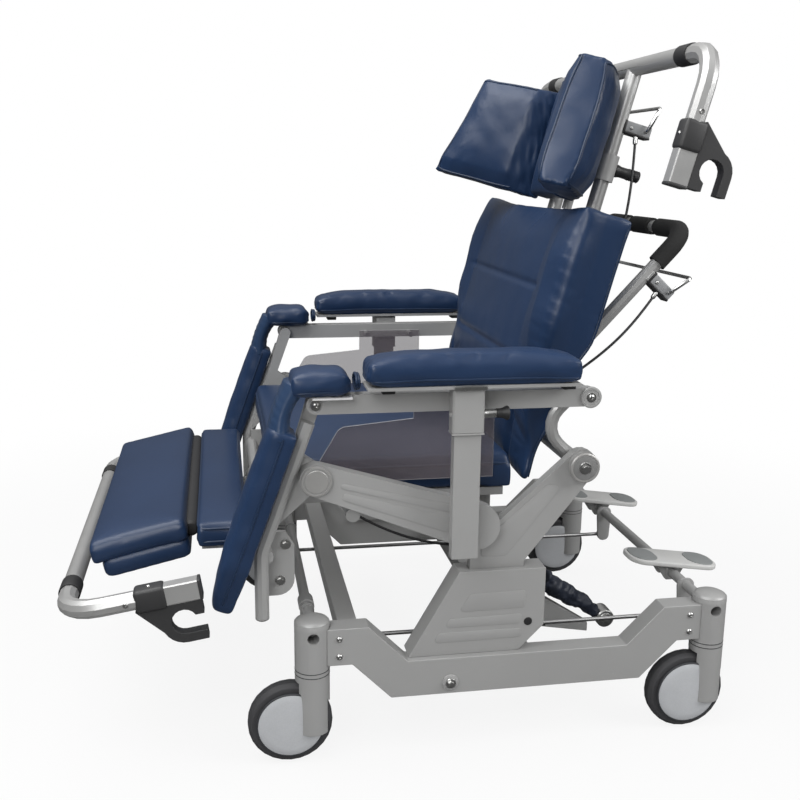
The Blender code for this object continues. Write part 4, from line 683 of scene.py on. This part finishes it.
def navy_fabric(name, light, dark):
    finish, shader, place = new_finish(name)
    for socket, value in (("Sheen Weight", 0.02), ("Sheen Roughness", 0.4), ("Specular IOR Level", 0.36)):
        shader.inputs[socket].default_value = value
    cloud = place.noise(7.0, 3.0)
    threads = [place.part(axis) * 5200.0 for axis in "XYZ"]
    yarn = [thread.node("Math", {"operation": "SINE"}, {0: thread}) for thread in threads]
    weave = yarn[0] * yarn[1] + yarn[1] * yarn[2] + yarn[2] * yarn[0]
    fleck = place.noise(900.0, 2.0)
    tint = (cloud * 0.75 + fleck * 0.25).mix((*dark, 1), (*light, 1))
    relief = weave * 0.12 + fleck * 0.5 + place.noise(60.0, 3.0) * 0.8
    coat(shader, tint, 0.26 + cloud * 0.1 + fleck * 0.05, relief, 0.16, 0.0007)
    return finish


cover = navy_fabric("navy_cover", (0.0128, 0.031, 0.078), (0.009, 0.0225, 0.058))
edge_fabric = navy_fabric("navy_piping", (0.013, 0.03, 0.072), (0.0065, 0.015, 0.036))


def ramp(value, low, high):
    """0 below low, 1 above high, and a straight line between them."""
    return max(0.0, min(1.0, (value - low) / (high - low)))


def seam_hold(pad):
    """How firmly each point of a cover is held: 1 along its rounded edges, 0 on its faces."""
    skin = bmesh.new()
    skin.from_mesh(pad.data)
    skin.normal_update()
    hold = []
    rings = []
    for v in skin.verts:
        around = [e.other_vert(v) for e in v.link_edges]
        middle = sum((o.co for o in around), Vector()) / len(around)
        step = sum((o.co - v.co).length for o in around) / len(around)
        bend = (v.co - middle).dot(v.normal) / step
        hold.append(ramp(bend, 0.03, 0.09))
        rings.append([o.index for o in around])
    skin.free()
    for turn in range(3):
        hold = [(h + sum(hold[i] for i in around) / len(around)) / 2 for h, around in zip(hold, rings)]
    return [min(1.0, 1.5 * h) for h in hold]


def fill_cover(pad, cap, firm):
    """Fills a cover under pressure as cloth. Its seams are held, and no point moves further than the cap."""
    rest = [v.co.copy() for v in pad.data.vertices]
    fill = pad.modifiers.new("fill", "CLOTH")
    feel = {"quality": 4, "mass": 0.15, "tension_stiffness": 12, "compression_stiffness": 12,
            "shear_stiffness": 4, "bending_stiffness": 0.4, "use_pressure": True, "uniform_pressure_force": 4}
    for setting, value in feel.items():
        setattr(fill.settings, setting, value)
    fill.settings.effector_weights.gravity = 0
    fill.collision_settings.use_collision = False
    last_step = 20
    fill.point_cache.frame_start = 1
    fill.point_cache.frame_end = last_step
    group = pad.vertex_groups.new(name="held")
    for index, weight in enumerate(seam_hold(pad)):
        if weight * firm > 0.01:
            group.add([index], weight * firm, "REPLACE")
    fill.settings.vertex_group_mass = "held"
    for step in range(1, last_step + 1):
        scene.frame_set(step)
    filled = as_mesh(pad)
    pad.modifiers.clear()
    pad.vertex_groups.clear()
    for vertex, new, old in zip(pad.data.vertices, filled.vertices, rest):
        move = new.co - old
        if move.length > cap:
            move *= cap / move.length
        vertex.co = old + move
    scene.frame_set(1)
    return pad


def cushion(name, node, cap, smooth, firm=1.0, voxel=0.005, inset=0.001):
    """A filled cover over a soft solid."""
    return fill_cover(skin_over(name, foam_of(node, inset), voxel, smooth), cap, firm)


def round_curve(name, radius, sides):
    """An empty curve with a round section, as an object in the scene."""
    curve = bpy.data.curves.new(name, "CURVE")
    curve.dimensions = "3D"
    curve.bevel_depth = radius
    curve.bevel_resolution = sides
    curve.use_fill_caps = True
    holder = bpy.data.objects.new(name, curve)
    scene.collection.objects.link(holder)
    return holder


def tube(shape, line, radius, sides=3):
    """Adds a round tube along a line of points."""
    holder = round_curve("tube", radius, sides)
    spline = holder.data.splines.new("POLY")
    spline.points.add(len(line) - 1)
    for knot, place in zip(spline.points, line):
        knot.co = (*place, 1)
    bpy.context.view_layer.update()
    made = bmesh.new()
    made.from_mesh(as_mesh(holder))
    bpy.data.objects.remove(holder)
    bmesh.ops.remove_doubles(made, verts=made.verts, dist=0.00002)
    bmesh.ops.recalc_face_normals(made, faces=made.faces)
    joined(shape, made)


def along(corners, step=0.009):
    """Points at even steps along a line of corners."""
    corners = [Vector(c) for c in corners]
    line = []
    for one, other in zip(corners, corners[1:]):
        count = max(1, round((other - one).length / step))
        line += [one.lerp(other, i / count) for i in range(count)]
    return line + [corners[-1]]


def sewn_edges(name, pad, edges, radius, body):
    """Piping sewn along a cushion's edges: lines drawn onto its skin, with a thin tube along each."""
    skin = as_mesh(pad)
    surface = BVHTree.FromPolygons([v.co for v in skin.vertices], [p.vertices[:] for p in skin.polygons])
    shape = bmesh.new()
    for edge in edges:
        line = [surface.find_nearest(p)[0] for p in along(edge)]
        for step in range(4):
            inner = [(a + b * 2 + c) / 4 for a, b, c in zip(line, line[1:], line[2:])]
            line = [line[0], *inner, line[-1]]
        tube(shape, line, radius)
    return add_piece(name, shape, edge_fabric, body)


def ring(node, rise):
    """The corners of a level rectangle round a cushion, closed: a rise above its foot, or below its top."""
    low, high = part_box(node)
    z = low.z + rise if rise > 0 else high.z + rise
    spots = ((low.x, low.y), (high.x, low.y), (high.x, high.y), (low.x, high.y), (low.x, low.y))
    return [Vector((x, y, z)) for x, y in spots]


seat_cover = cushion("seat_cover", "seat_cushion", 0.022, 4, voxel=0.006)
finish_soft(seat_cover, "seat_cushion", "seat", cover)
sewn_edges("seat_piping", seat_cover, [ring("seat_cushion", 0.046)], 0.0026, "seat")

# Seat cable. A black release cable that hangs in a shallow bow under the seat, from the front cross tube to
# the rear.


def cable(name, line, body, node, diameter):
    """A cable along a line of points, as one smooth curve that stands for its solid."""
    piece = round_curve(name, diameter / 2, 4)
    piece.data.resolution_u = 6
    spline = piece.data.splines.new("BEZIER")
    spline.bezier_points.add(len(line) - 1)
    for knot, place in zip(spline.bezier_points, line):
        knot.co = place
        knot.handle_left_type = "AUTO"
        knot.handle_right_type = "AUTO"
    piece.data.materials.append(cable_black)
    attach(piece, body)
    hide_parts(node)
    length = sum((b - a).length for a, b in zip(line, line[1:]))


cable_black = moulded("cable_black", (0.012, 0.012, 0.013), 0.38)
cable_diameter, seat_tube = 0.005, 0.025
seat_drop = seat_tube / 2 + cable_diameter / 2 + 0.0003
cable_front = at(0.3, -0.3, 0.45 - seat_drop)
cable_rear = at(0.3, -0.04, 0.372 - seat_drop)
seat_sag = 0.026
seat_line = []
for i in range(17):
    share = i / 16
    seat_line.append(cable_front.lerp(cable_rear, share) - Vector((0, 0, 4 * seat_sag * share * (1 - share))))
cable("seat_cable_line", seat_line, "seat", "seat_cable", cable_diameter)

# Legs. A lever and a bent strut of painted tube on each side, joined by the leg rest's pivot tube. A long
# bolster with a seam down each edge is strapped to the front of each strut, and narrows to a tip.
dress(frame_paint, 0.0008, "leg_frame")
strut_lean = math.radians(20)
arm_front = at(0, -0.365, 0.652)
down_strut = Vector((0, -math.sin(strut_lean), -math.cos(strut_lean)))
out_strut = Vector((0, -math.cos(strut_lean), math.sin(strut_lean)))
bolster_x, bolster_half = 0.4, 0.038
bolster_start, bolster_end, bolster_seat, bolster_depth = 0.052, 0.378, 0.0128, 0.052


def strut_at(reach, out, x):
    return arm_front + down_strut * reach + out_strut * out + Vector((x, 0, 0))


leg_screws = bmesh.new()
for name, side in both_sides:
    bolster = cushion("bolster_cover_" + name, "leg_bolster_" + name, 0.006, 10, 0.3)
    for v in bolster.data.vertices:
        past = max(0.0, ((v.co - arm_front).dot(down_strut) - 0.29) / (bolster_end - 0.29))
        across = v.co.x - side * bolster_x
        v.co.x -= across * 0.36 * past ** 1.6
        v.co += down_strut * 0.014 * past * past * max(0.0, 1 - abs(across) / bolster_half)
    draw_in(bolster, lambda p: 0.0016 * noise.noise(p * 30))
    finish_soft(bolster, "leg_bolster_" + name, "leg", cover)
    edges = [[], []]
    seam_out = bolster_seat + bolster_depth * 0.44
    for reach in (bolster_start + 0.012, 0.14, 0.22, 0.3, bolster_end - 0.006):
        seam_half = bolster_half * (1 - 0.5 * max(0, reach - 0.27) / 0.11)
        for edge, across in zip(edges, (-1, 1)):
            edge.append(strut_at(reach, seam_out, side * bolster_x + across * seam_half))
    sewn_edges("bolster_piping_" + name, bolster, edges, 0.002, "leg")
    for y, z in ((-0.415, 0.396), (-0.425, 0.33)):
        hex_bolt(leg_screws, at(side * 0.357, y, z), (side, 0, 0), 0.0058)
    turned(leg_screws, at(side * 0.386, -0.4584, 0.2752), (0, 0, -1),
           [(0, 0.004), (0.009, 0.0036), (0.0118, 0.0016), (0.0122, 0)], 24)
add_piece("leg_screws", leg_screws, bright_steel, "leg")

# Leg rest. Two silver tubes from the pivot tube to the foot bar, with boards for a calf pad and a foot pad.
# A black roll covers the fold between the pads, and the foot pad lies on a second, thinner layer.
tube_silver = worn_metal("tube_silver", (0.42, 0.42, 0.415), 0.28, 0.5)
dress(tube_silver, 0.0006, "leg_rest_frame")
calf = cushion("calf_cover", "calf_cushion", 0.008, 6)
finish_soft(calf, "calf_cushion", "leg_rest", cover)
calf_rings = [ring("calf_cushion", rise) for rise in (0.01, -0.014)]
sewn_edges("calf_piping", calf, calf_rings, 0.0022, "leg_rest")
foot = cushion("foot_cover", "foot_cushion", 0.008, 12, 0.5)
foot_slope, foot_depth, foot_length, foot_half = math.radians(13), 0.048, 0.16, 0.338
foot_rear = at(0, -0.588, 0.449)
foot_along = Vector((0, -math.cos(foot_slope), -math.sin(foot_slope)))
foot_out = Vector((0, -math.sin(foot_slope), math.cos(foot_slope)))


def foot_at(x, reach, out):
    return foot_rear + foot_along * reach + foot_out * out + Vector((x, 0, 0))


def slab(shape, corner, size, axes, edge, segments=3):
    """Adds a block with soft edges: its first corner, its size, and the directions of its three edges."""
    block = bmesh.new()
    bmesh.ops.create_cube(block, size=1)
    bmesh.ops.translate(block, vec=(0.5, 0.5, 0.5), verts=block.verts)
    bmesh.ops.scale(block, vec=size, verts=block.verts)
    soften(block, block.edges, edge, segments)
    turn = Matrix([Vector(a) for a in axes]).transposed().to_4x4()
    bmesh.ops.transform(block, matrix=Matrix.Translation(corner) @ turn, verts=block.verts)
    bmesh.ops.recalc_face_normals(block, faces=block.faces)
    joined(shape, block)


for v in foot.data.vertices:
    v.co += foot_along * 0.06 * (v.co - foot_rear).dot(foot_along)
finish_soft(foot, "foot_cushion", "leg_rest", cover)
under = bmesh.new()
slab(under, foot_at(-foot_half + 0.004, 0.003, -foot_depth - 0.03),
     (2 * foot_half - 0.008, foot_length - 0.008, 0.037), ((1, 0, 0), foot_along, foot_out), 0.01, 2)
foot_under = skin_over("foot_under_cover", under, 0.005, 4)
finish_soft(foot_under, None, "leg_rest", cover)
rubber_black = moulded("rubber_black", (0.014, 0.014, 0.015), 0.55, 320.0)
fold_roll = bmesh.new()
turned(fold_roll, at(-0.3, -0.577, 0.412), (1, 0, 0),
       [(0, 0.6), (0.01, 0.599), (0.0145, 0.595), (0.015, 0.58), (0.015, 0.02), (0.0145, 0.005),
        (0.01, 0.001), (0, 0)])
add_piece("fold_roll", fold_roll, rubber_black, "leg_rest")

# Transfer arms. Bent silver tubes that turn on the ends of the foot bar and the head bar. A black collar
# hides each turning joint, and each arm has a black moulded sleeve and hook, an end cap and a rivet.
black_hook = moulded("black_hook", (0.026, 0.026, 0.027), 0.44, 520.0)
back_lean = math.radians(15)
hip_axis = at(0, *hip)
up_back = Vector((0, math.sin(back_lean), math.cos(back_lean)))
out_back = Vector((0, -math.cos(back_lean), math.sin(back_lean)))


def back_at(reach, out, x=0.0):
    """A point by its distance up the back from the hip pivot, and in front of the pivot's plane."""
    return hip_axis + up_back * reach + out_back * out + Vector((x, 0, 0))


bar_half, arm_x, arm_tube, arm_reach = 0.3375, 0.4415, 0.016, 0.221
foot_rise = math.radians(9)
arm_lines = {
    "foot": (at(0, -0.779, 0.328), Vector((0, math.cos(foot_rise), math.sin(foot_rise))),
             Vector((0, math.sin(foot_rise), -math.cos(foot_rise))), "leg_rest"),
    "head": (back_at(0.722, 0.022), -up_back, -out_back, "back"),
}
for end, (bar, arm_way, below, bar_body) in arm_lines.items():
    collars = bmesh.new()
    for name, side in both_sides:
        tag = end + "_arm_" + name
        dress(tube_silver, 0.001, tag)
        dress(black_hook, 0.0022, end + "_hook_" + name)
        across = Vector((side, 0, 0))
        turned(collars, bar + across * (bar_half - 0.022), across,
               [(arm_tube, 0.042), (0.0176, 0.042), (0.0182, 0.0405), (0.0182, 0.0015), (0.0176, 0),
                (arm_tube, 0)], 36)
        sleeve = bmesh.new()
        axis = bar + across * arm_x
        frame_axes = (across, arm_way, below)
        slab(sleeve, axis - across * 0.0172 + arm_way * 0.116 - below * 0.0196, (0.0344, 0.05, 0.0392),
             frame_axes, 0.006)
        slab(sleeve, axis - across * 0.0134 + arm_way * (arm_reach - 0.002) - below * 0.0174,
             (0.0268, 0.0055, 0.0348), frame_axes, 0.0018)
        add_piece(end + "_sleeve_" + name, sleeve, black_hook, tag)
        rivet = bmesh.new()
        for face in (1, -1):
            turned(rivet, axis + across * face * 0.0155 + arm_way * 0.102, across * face,
                   [(0.0016, 0.0004), (0.0018, 0.0014), (0.0036, 0.0016), (0.0044, 0.0008), (0.0046, 0),
                    (0.0016, 0)], 20)
        dome_screw(rivet, axis - below * 0.0192 + arm_way * 0.141, -below, 0.0036)
        add_piece(end + "_rivets_" + name, rivet, bright_steel, tag)
    add_piece(end + "_collars", collars, rubber_black, bar_body)

# Arms. A flat painted bar on each side turns on the leg's and the back's pivots. It carries a sleeve for
# the sliding post of the arm pad, a spring plunger with a black knob, and a smoked clear screen.
dress(frame_paint, 0.0012, "arm_bar_left", "arm_bar_right", "arm_post_left", "arm_post_right")
smoke, smoke_shader, smoke_place = new_finish("smoked_screen")
haze = smoke_place.noise(9.0, 4.0)
flank = smoke_place.node("TexCoord", None, None, "Normal").part("X")
rim_share = 1 - (flank * flank).between(0.2, 0.7)
body_tint = haze.mix((0.13, 0.114, 0.128, 1), (0.176, 0.156, 0.17, 1))
coat(smoke_shader, rim_share.mix(body_tint, (0.4, 0.4, 0.41, 1)), 0.1 + haze * 0.14)
smoke.node_tree.links.new((0.46 + rim_share * 0.4).socket, smoke_shader.inputs["Alpha"])
dress(smoke, 0.0005, "side_screen_left", "side_screen_right")
bar_face, bar_top, post_x, post_y = 0.4025, 0.668, 0.433, -0.117
pad_x, pad_plate = 0.424, 0.6833
pivots = ((-0.365, 0.652), (0.11, 0.652))
upright = ((1, 0, 0), (0, 1, 0), (0, 0, 1))
for name, side in both_sides:
    body = "arm_" + name
    out = (side, 0, 0)
    bosses, bolts = shapes(2)
    turned(bosses, at(side * (bar_face - 0.002), *pivots[1]), out,
           [(0, 0.005), (0.014, 0.005), (0.0146, 0.006), (0.0176, 0.0056), (0.0188, 0.004),
            (0.0188, 0.0)], 40)
    turned(bosses, at(side * (bar_face - 0.001), *pivots[0]), out,
           [(0, 0.0022), (0.0105, 0.0022), (0.0115, 0.0012), (0.0115, 0.0)], 32)
    for place in pivots:
        dome_screw(bolts, at(side * (bar_face + 0.0012), *place), out, 0.0066)
        turned(bolts, at(side * (bar_face + 0.0008), *place), out,
               [(0, 0.0026), (0.0084, 0.0026), (0.0092, 0.0018), (0.0092, 0)], 28)
    add_piece("arm_bosses_" + name, bosses, frame_paint, body)
    add_piece("arm_bolts_" + name, bolts, bright_steel, body)
    collar = bmesh.new()
    slab(collar, at(side * post_x - 0.0156, post_y - 0.0276, 0.6038), (0.0312, 0.0552, 0.003), upright,
         0.0012, 2)
    dome_screw(collar, at(side * post_x, post_y - 0.0268, 0.637), (0, -1, 0), 0.0048)
    add_piece("post_collar_" + name, collar, frame_paint, body)
    rest_body = "armrest_" + name
    bumpers = bmesh.new()
    for y in (-0.258, 0.052):
        slab(bumpers, at(side * pad_x - 0.028, y, pad_plate - 0.0115), (0.03, 0.022, 0.0115), upright,
             0.002, 2)
    add_piece("arm_bumpers_" + name, bumpers, black_plastic, rest_body)
    clip = bmesh.new()
    clip_x, clip_thick = side * 0.456, 0.0016
    slab(clip, at(clip_x - clip_thick / 2, post_y - 0.027, pad_plate - 0.0016), (clip_thick, 0.055, 0.0076),
         upright, 0.0005, 2)
    add_piece("post_clip_" + name, clip, bright_steel, rest_body)
    tip = at(side * post_x, post_y + 0.0233, 0.637)
    neck = bmesh.new()
    turned(neck, tip, (0, 1, 0), [(0, 0.028), (0.005, 0.028), (0.0052, 0.027), (0.0052, 0)], 24)
    turned(neck, tip + Vector((0, 0.0045, 0)), (0, 1, 0),
           [(0, 0.0225), (0.0068, 0.0225), (0.0076, 0.0215), (0.0076, 0.001), (0.007, 0)], 28)
    neck_piece = add_piece("plunger_neck_" + name, neck, bright_steel, "plunger_" + name)
    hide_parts("arm_plunger_" + name)
    knob = bmesh.new()
    turned(knob, tip + Vector((0, 0.027, 0)), (0, 1, 0),
           [(0, 0.0228), (0.006, 0.0226), (0.0112, 0.0212), (0.0124, 0.019), (0.0116, 0.0165),
            (0.009, 0.0115), (0.008, 0.006), (0.0082, 0.001), (0.0076, 0)], 32)
    add_piece("plunger_knob_" + name, knob, black_plastic, "plunger_" + name)

# Arm pads. A long stuffed pad on each sliding post, and a shorter one over each front pivot. The front pad
# is tied off at its rear, has a white hem below, and its gathered front end joins the leg bolster.
hem_white = moulded("hem_white", (0.62, 0.62, 0.62), 0.7, 800.0)
front_pad_x, front_pad_front, front_pad_rear = 0.39, -0.41, -0.3
smocked = navy_fabric("smocked_fabric", (0.019, 0.043, 0.096), (0.0115, 0.027, 0.064))
for name, side in both_sides:
    pad = cushion("arm_cover_" + name, "arm_pad_" + name, 0.006, 20, 0.0)
    ends = at(0, -0.292, 0).y, at(0, 0.078, 0).y
    draw_in(pad, lambda p: 0.0016 * noise.noise(p * 34)
            + 0.003 * max(0, 1 - min(p.y - ends[0], ends[1] - p.y) / 0.04) * (noise.noise(p * 90) + 0.2))
    finish_soft(pad, "arm_pad_" + name, "armrest_" + name, cover)
    arm_ring = ring("arm_pad_" + name, 0.008)
    sewn_edges("arm_piping_" + name, pad, [arm_ring], 0.0022, "armrest_" + name)
    front = cushion("front_cover_" + name, "arm_front_pad_" + name, 0.008, 20, 0.0)
    tie_y = at(0, front_pad_rear, 0).y
    draw_in(front, lambda p: 0.0016 * noise.noise(p * 40)
            + 0.009 * math.exp(-((p.y - tie_y + 0.004) / 0.012) ** 2)
            + 0.0022 * max(0, 1 - (tie_y - p.y) / 0.05) * noise.noise(p * 110))
    for v in front.data.vertices:
        near = ramp(v.co.y, tie_y - 0.024, tie_y) ** 2
        v.co.x += (side * front_pad_x - v.co.x) * 0.45 * near
        v.co.z += (0.689 - v.co.z) * 0.45 * near
        v.co.y += 0.009 * near
    finish_soft(front, "arm_front_pad_" + name, "arm_" + name, cover)
    front_ring = ring("arm_front_pad_" + name, 0.007)
    sewn_edges("front_piping_" + name, front, [front_ring], 0.002, "arm_" + name)
    ties = bmesh.new()
    for y, wide, tall in ((front_pad_rear + 0.002, 0.0235, 0.0128), (front_pad_rear + 0.006, 0.0225, 0.012)):
        loop = []
        for i in range(29):
            turn = math.tau * i / 28
            loop.append(at(side * front_pad_x + wide * math.cos(turn), y, 0.689 + tall * math.sin(turn)))
        tube(ties, loop, 0.0024)
    add_piece("pad_ties_" + name, ties, edge_fabric, "arm_" + name)
    hem = bmesh.new()
    hem_x, hem_wide = side * (front_pad_x + 0.02), 0.028
    slab(hem, at(hem_x - hem_wide / 2, -0.372, bar_top - 0.0035), (hem_wide, 0.066, 0.0036), upright,
         0.001, 2)
    add_piece("front_hem_" + name, hem, hem_white, "arm_" + name)
    gather = bmesh.new()
    bmesh.ops.create_cone(gather, cap_ends=True, segments=28, radius1=1, radius2=1, depth=1)
    sides = [e for e in gather.edges if abs(e.verts[0].co.z - e.verts[1].co.z) > 0.5]
    bmesh.ops.subdivide_edges(gather, edges=sides, cuts=36, use_grid_fill=True)
    bottom = strut_at(bolster_start + 0.018, bolster_seat + bolster_depth * 0.5, side * bolster_x)
    top = at(side * front_pad_x, front_pad_front + 0.016, bar_top + 0.022)
    for v in gather.verts:
        share = v.co.z + 0.5
        bulge = math.sin(math.pi * share)
        wave = math.sin(math.tau * 6.5 * share + 3 * v.co.x) * bulge
        ridge = 1 + 0.03 * wave + 0.03 * math.sin(22 * v.co.x)
        wide = 0.033 + 0.004 * (1 - bulge)
        thick = (0.0225 - 0.006 * bulge) * ridge
        centre = bottom.lerp(top, share) + Vector((0, -0.01 * bulge, 0))
        slope = out_strut.lerp(Vector((0, -1, 0.2)), share).normalized()
        v.co = centre + Vector((v.co.x * wide, 0, 0)) + slope * v.co.y * thick
    bmesh.ops.recalc_face_normals(gather, faces=gather.faces)
    piece = new_object("gathered_front_" + name, gather)
    piece.data.shade_smooth()
    piece.data.materials.append(smocked)
    "arm_" + name
    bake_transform(piece)

# Back frame. Two silver uprights with the head bar across their tops, side brackets to the arms, and a bent
# push bar with black foam grips. Grey release blocks on both carry bright wire bails, with a cable from
# each.
dress(tube_silver, 0.0006, "back_frame", "push_bar")
chrome_wire = worn_metal("chrome_wire", (0.74, 0.74, 0.73), 0.1)
dress(chrome_wire, 0, "release_bail_upper", "release_bail_lower")
foam_black = moulded("foam_black", (0.01, 0.01, 0.01), 0.78, 1500.0)
push_x, push_foot, push_top, push_bend = 0.2, at(0, 0.11, 0.652), at(0, 0.362, 0.924), 0.045


def bent(corners, radius, steps=8):
    """A line whose inner corners are arcs of the given radius."""
    line = [corners[0]]
    for triple in zip(corners, corners[1:], corners[2:]):
        line += arc(*triple, radius, steps)
    return line + [corners[-1]]


grips = bmesh.new()
for side in (1, -1):
    outer = Vector((side * push_x, 0, 0))
    inner = Vector((side * 0.078, 0, 0))
    grip_line = bent([push_foot.lerp(push_top, 0.775) + outer, push_top + outer, push_top + inner], push_bend)
    tube(grips, along(grip_line, 0.006), 0.0178, 5)
tube(grips, along([push_top - Vector((0.046, 0, 0)), push_top + Vector((0.046, 0, 0))], 0.006), 0.0172, 5)
add_piece("push_grips", grips, foam_black, "back")

block_grey = moulded("block_grey", (0.23, 0.235, 0.24), 0.34)
push_way = (push_top - push_foot).normalized()
push_out = Vector((0, push_way.z, -push_way.y))
handles = {
    "upper": (0.115, back_at(0.612, 0.022), -out_back, up_back, 0.026, 0.045),
    "lower": (push_x, push_foot.lerp(push_top, 0.7), push_out, push_way, 0.06, 0.012),
}
block_wide, block_tall, block_long = 0.026, 0.022, 0.062
arm_rear = at(0, *pivots[1])
for name, (half, place, way, up, shift, bow_reach) in handles.items():
    shells, edges, screws = shapes(3)
    for side in (1, -1):
        axes = ((1, 0, 0), way, up)
        centre = place + Vector((side * half, 0, 0))
        corner = centre - Vector((block_wide / 2 + 0.0008, 0, 0)) - up * (block_tall / 2 - 0.003)
        wide = block_wide + 0.0016
        slab(shells, corner + way * 0.01, (wide, block_long - 0.0085, block_tall - 0.0022), axes, 0.0022, 3)
        slab(edges, corner + way * 0.0085 - up * 0.004, (wide, block_long - 0.0065, 0.0046), axes, 0.0012, 2)
        slab(edges, corner + way * 0.006 - up * 0.004, (wide, 0.006, block_tall + 0.003), axes, 0.0012, 2)
        for reach in (0.024, 0.046):
            dome_screw(screws, centre + way * reach + up * (block_tall / 2 + 0.0006), up, 0.0034)
        dome_screw(screws, centre + Vector((side * wide / 2, 0, 0)) + way * 0.022, (side, 0, 0), 0.0036)
    start = place + Vector((half + block_wide / 2 - cable_diameter, 0, 0)) + way * block_long * 0.6
    start -= up * (block_tall / 2 + cable_diameter * 0.2 + 0.0003)
    foot_point = arm_rear + Vector((half + shift, 0, 0))
    bow = (way + Vector((1, 0, 0)) * 0.6).normalized() * bow_reach
    arrival = start - foot_point + bow * math.pi
    arrival.x = 0
    end = foot_point + arrival.normalized() * (0.0125 + cable_diameter * 0.1 + 0.0003)
    line = [start.lerp(end, i / 18) + bow * math.sin(math.pi * i / 18) for i in range(19)]
    cable("release_line_" + name, line, "back", "release_cable_" + name, cable_diameter)
    turned(screws, line[0] + (line[0] - line[1]).normalized() * 0.002, line[1] - line[0],
           [(0.0026, 0.016), (0.004, 0.016), (0.0046, 0.014), (0.0046, 0.001), (0.0026, 0)], 20)
    add_piece("release_shells_" + name, shells, block_grey, "back")
    add_piece("release_edges_" + name, edges, black_plastic, "back")
    add_piece("release_screws_" + name, screws, bright_steel, "back")

# Back cushion. One wide foam slab in the navy cover, with two stitched lines across its front, a crease
# beside each lower lobe, and a piped edge where the front cover meets the rear panel.
back_pad = cushion("back_cover", "back_cushion", 0.022, 16, 0.4, voxel=0.006)
seam_reaches = (0.144, 0.2807)


def back_folds(p):
    """How far the cover is drawn in at a point: stitched lines, creases, and fuller lobes at the sides."""
    spot = p - hip_axis
    reach = spot.dot(up_back)
    out = spot.dot(out_back)
    front = ramp(out, 0.07, 0.1)
    inner = 1 - ramp(abs(p.x), 0.225, 0.255)
    stitched = sum(math.exp(-((reach - s) / 0.0055) ** 2) for s in seam_reaches) * 0.0042 * inner
    low = 1 - ramp(reach, 0.065, 0.125)
    crease = 0.011 * low * math.exp(-((abs(p.x) - 0.232 - 0.1 * reach) / 0.008) ** 2)
    lobe = ramp(abs(p.x), 0.222, 0.272) * math.exp(-((reach - 0.29) / 0.12) ** 4)
    return front * (stitched + crease - 0.018 * lobe + 0.0012 * noise.noise(p * 18))


draw_in(back_pad, back_folds)
finish_soft(back_pad, "back_cushion", "back", cover)
rim = [back_at(-0.055, 0.066, 0.322), back_at(0.03, 0.062, 0.324), back_at(0.09, 0.045, 0.326),
       back_at(0.16, 0.024, 0.326), back_at(0.3, 0.018, 0.326),
       back_at(0.428, 0.018, 0.326), back_at(0.438, 0.03, 0.3), back_at(0.438, 0.044, 0.15)]
edge = rim + [Vector((-p.x, p.y, p.z)) for p in reversed(rim)]
sewn_edges("back_piping", back_pad, [edge], 0.003, "back")

# Headrest. A painted bracket with sleeves slides on the uprights and is held by a black ribbed clamp knob.
# It carries a narrow middle pad and two wings, stuffed boxes with a gusset between two piped seams.
dress(frame_paint, 0.0008, "headrest_bracket")
knob_foot = back_at(0.53, 0.0035, 0.11)
clamp = bmesh.new()
ridges = [(0.0116 - 0.0011 * (i % 2), 0.052 - 0.0024 * i) for i in range(9)]
turned(clamp, knob_foot, -out_back, [(0, 0.0535), (0.0105, 0.0535)] + ridges
       + [(0.0105, 0.028), (0.0105, 0.014), (0.0122, 0.008), (0.0128, 0.002)], 32)
add_piece("clamp_knob", clamp, black_plastic, "headrest")
head = cushion("head_cover", "headrest_middle", 0.007, 4)
finish_soft(head, "headrest_middle", "headrest", cover)
hinge_x, hinge_out, wing_root, wing_long, wing_deep = 0.094, 0.0645, 0.0063, 0.238, 0.098
wings = (("left", 1, 27, 0.246, 0.575), ("right", -1, 54, 0.222, 0.559))
for name, side, open_angle, wing_tall, wing_middle in wings:
    angle = math.radians(open_angle)
    away = Vector((side * math.cos(angle), 0, 0)) + out_back * math.sin(angle)
    inward = out_back * math.cos(angle) - Vector((side * math.sin(angle), 0, 0))
    root = back_at(wing_middle, hinge_out, side * hinge_x) + away * wing_root
    wing = cushion("wing_cover_" + name, "headrest_wing_" + name, 0.005, 1, inset=0.0)
    corners = [root + away * wing_long * reach + up_back * wing_tall * rise + inward * wing_deep * 0.5
               for reach, rise in ((0.74, 0.5), (1.0, -0.5))]
    draw_in(wing, lambda p: 0.0018 * noise.noise(p * 26)
            + 0.0045 * max(0, 1 - (p - root).dot(away) / 0.07)
            * noise.noise(Vector((p.x, p.y, p.z * 0.25)) * 120)
            - 0.012 * sum(math.exp(-((p - c).length / 0.018) ** 2) for c in corners))
    finish_soft(wing, "headrest_wing_" + name, "wing_" + name, cover)
    loops = []
    for face in (0.47, -0.47):
        loops.append([root + away * wing_long * reach + up_back * wing_tall * rise + inward * wing_deep * face
                      for reach, rise in ((0.22, -0.49), (0.99, -0.49), (0.99, 0.49), (0.22, 0.49))])
    sewn_edges("wing_piping_" + name, wing, loops, 0.0024, "wing_" + name)
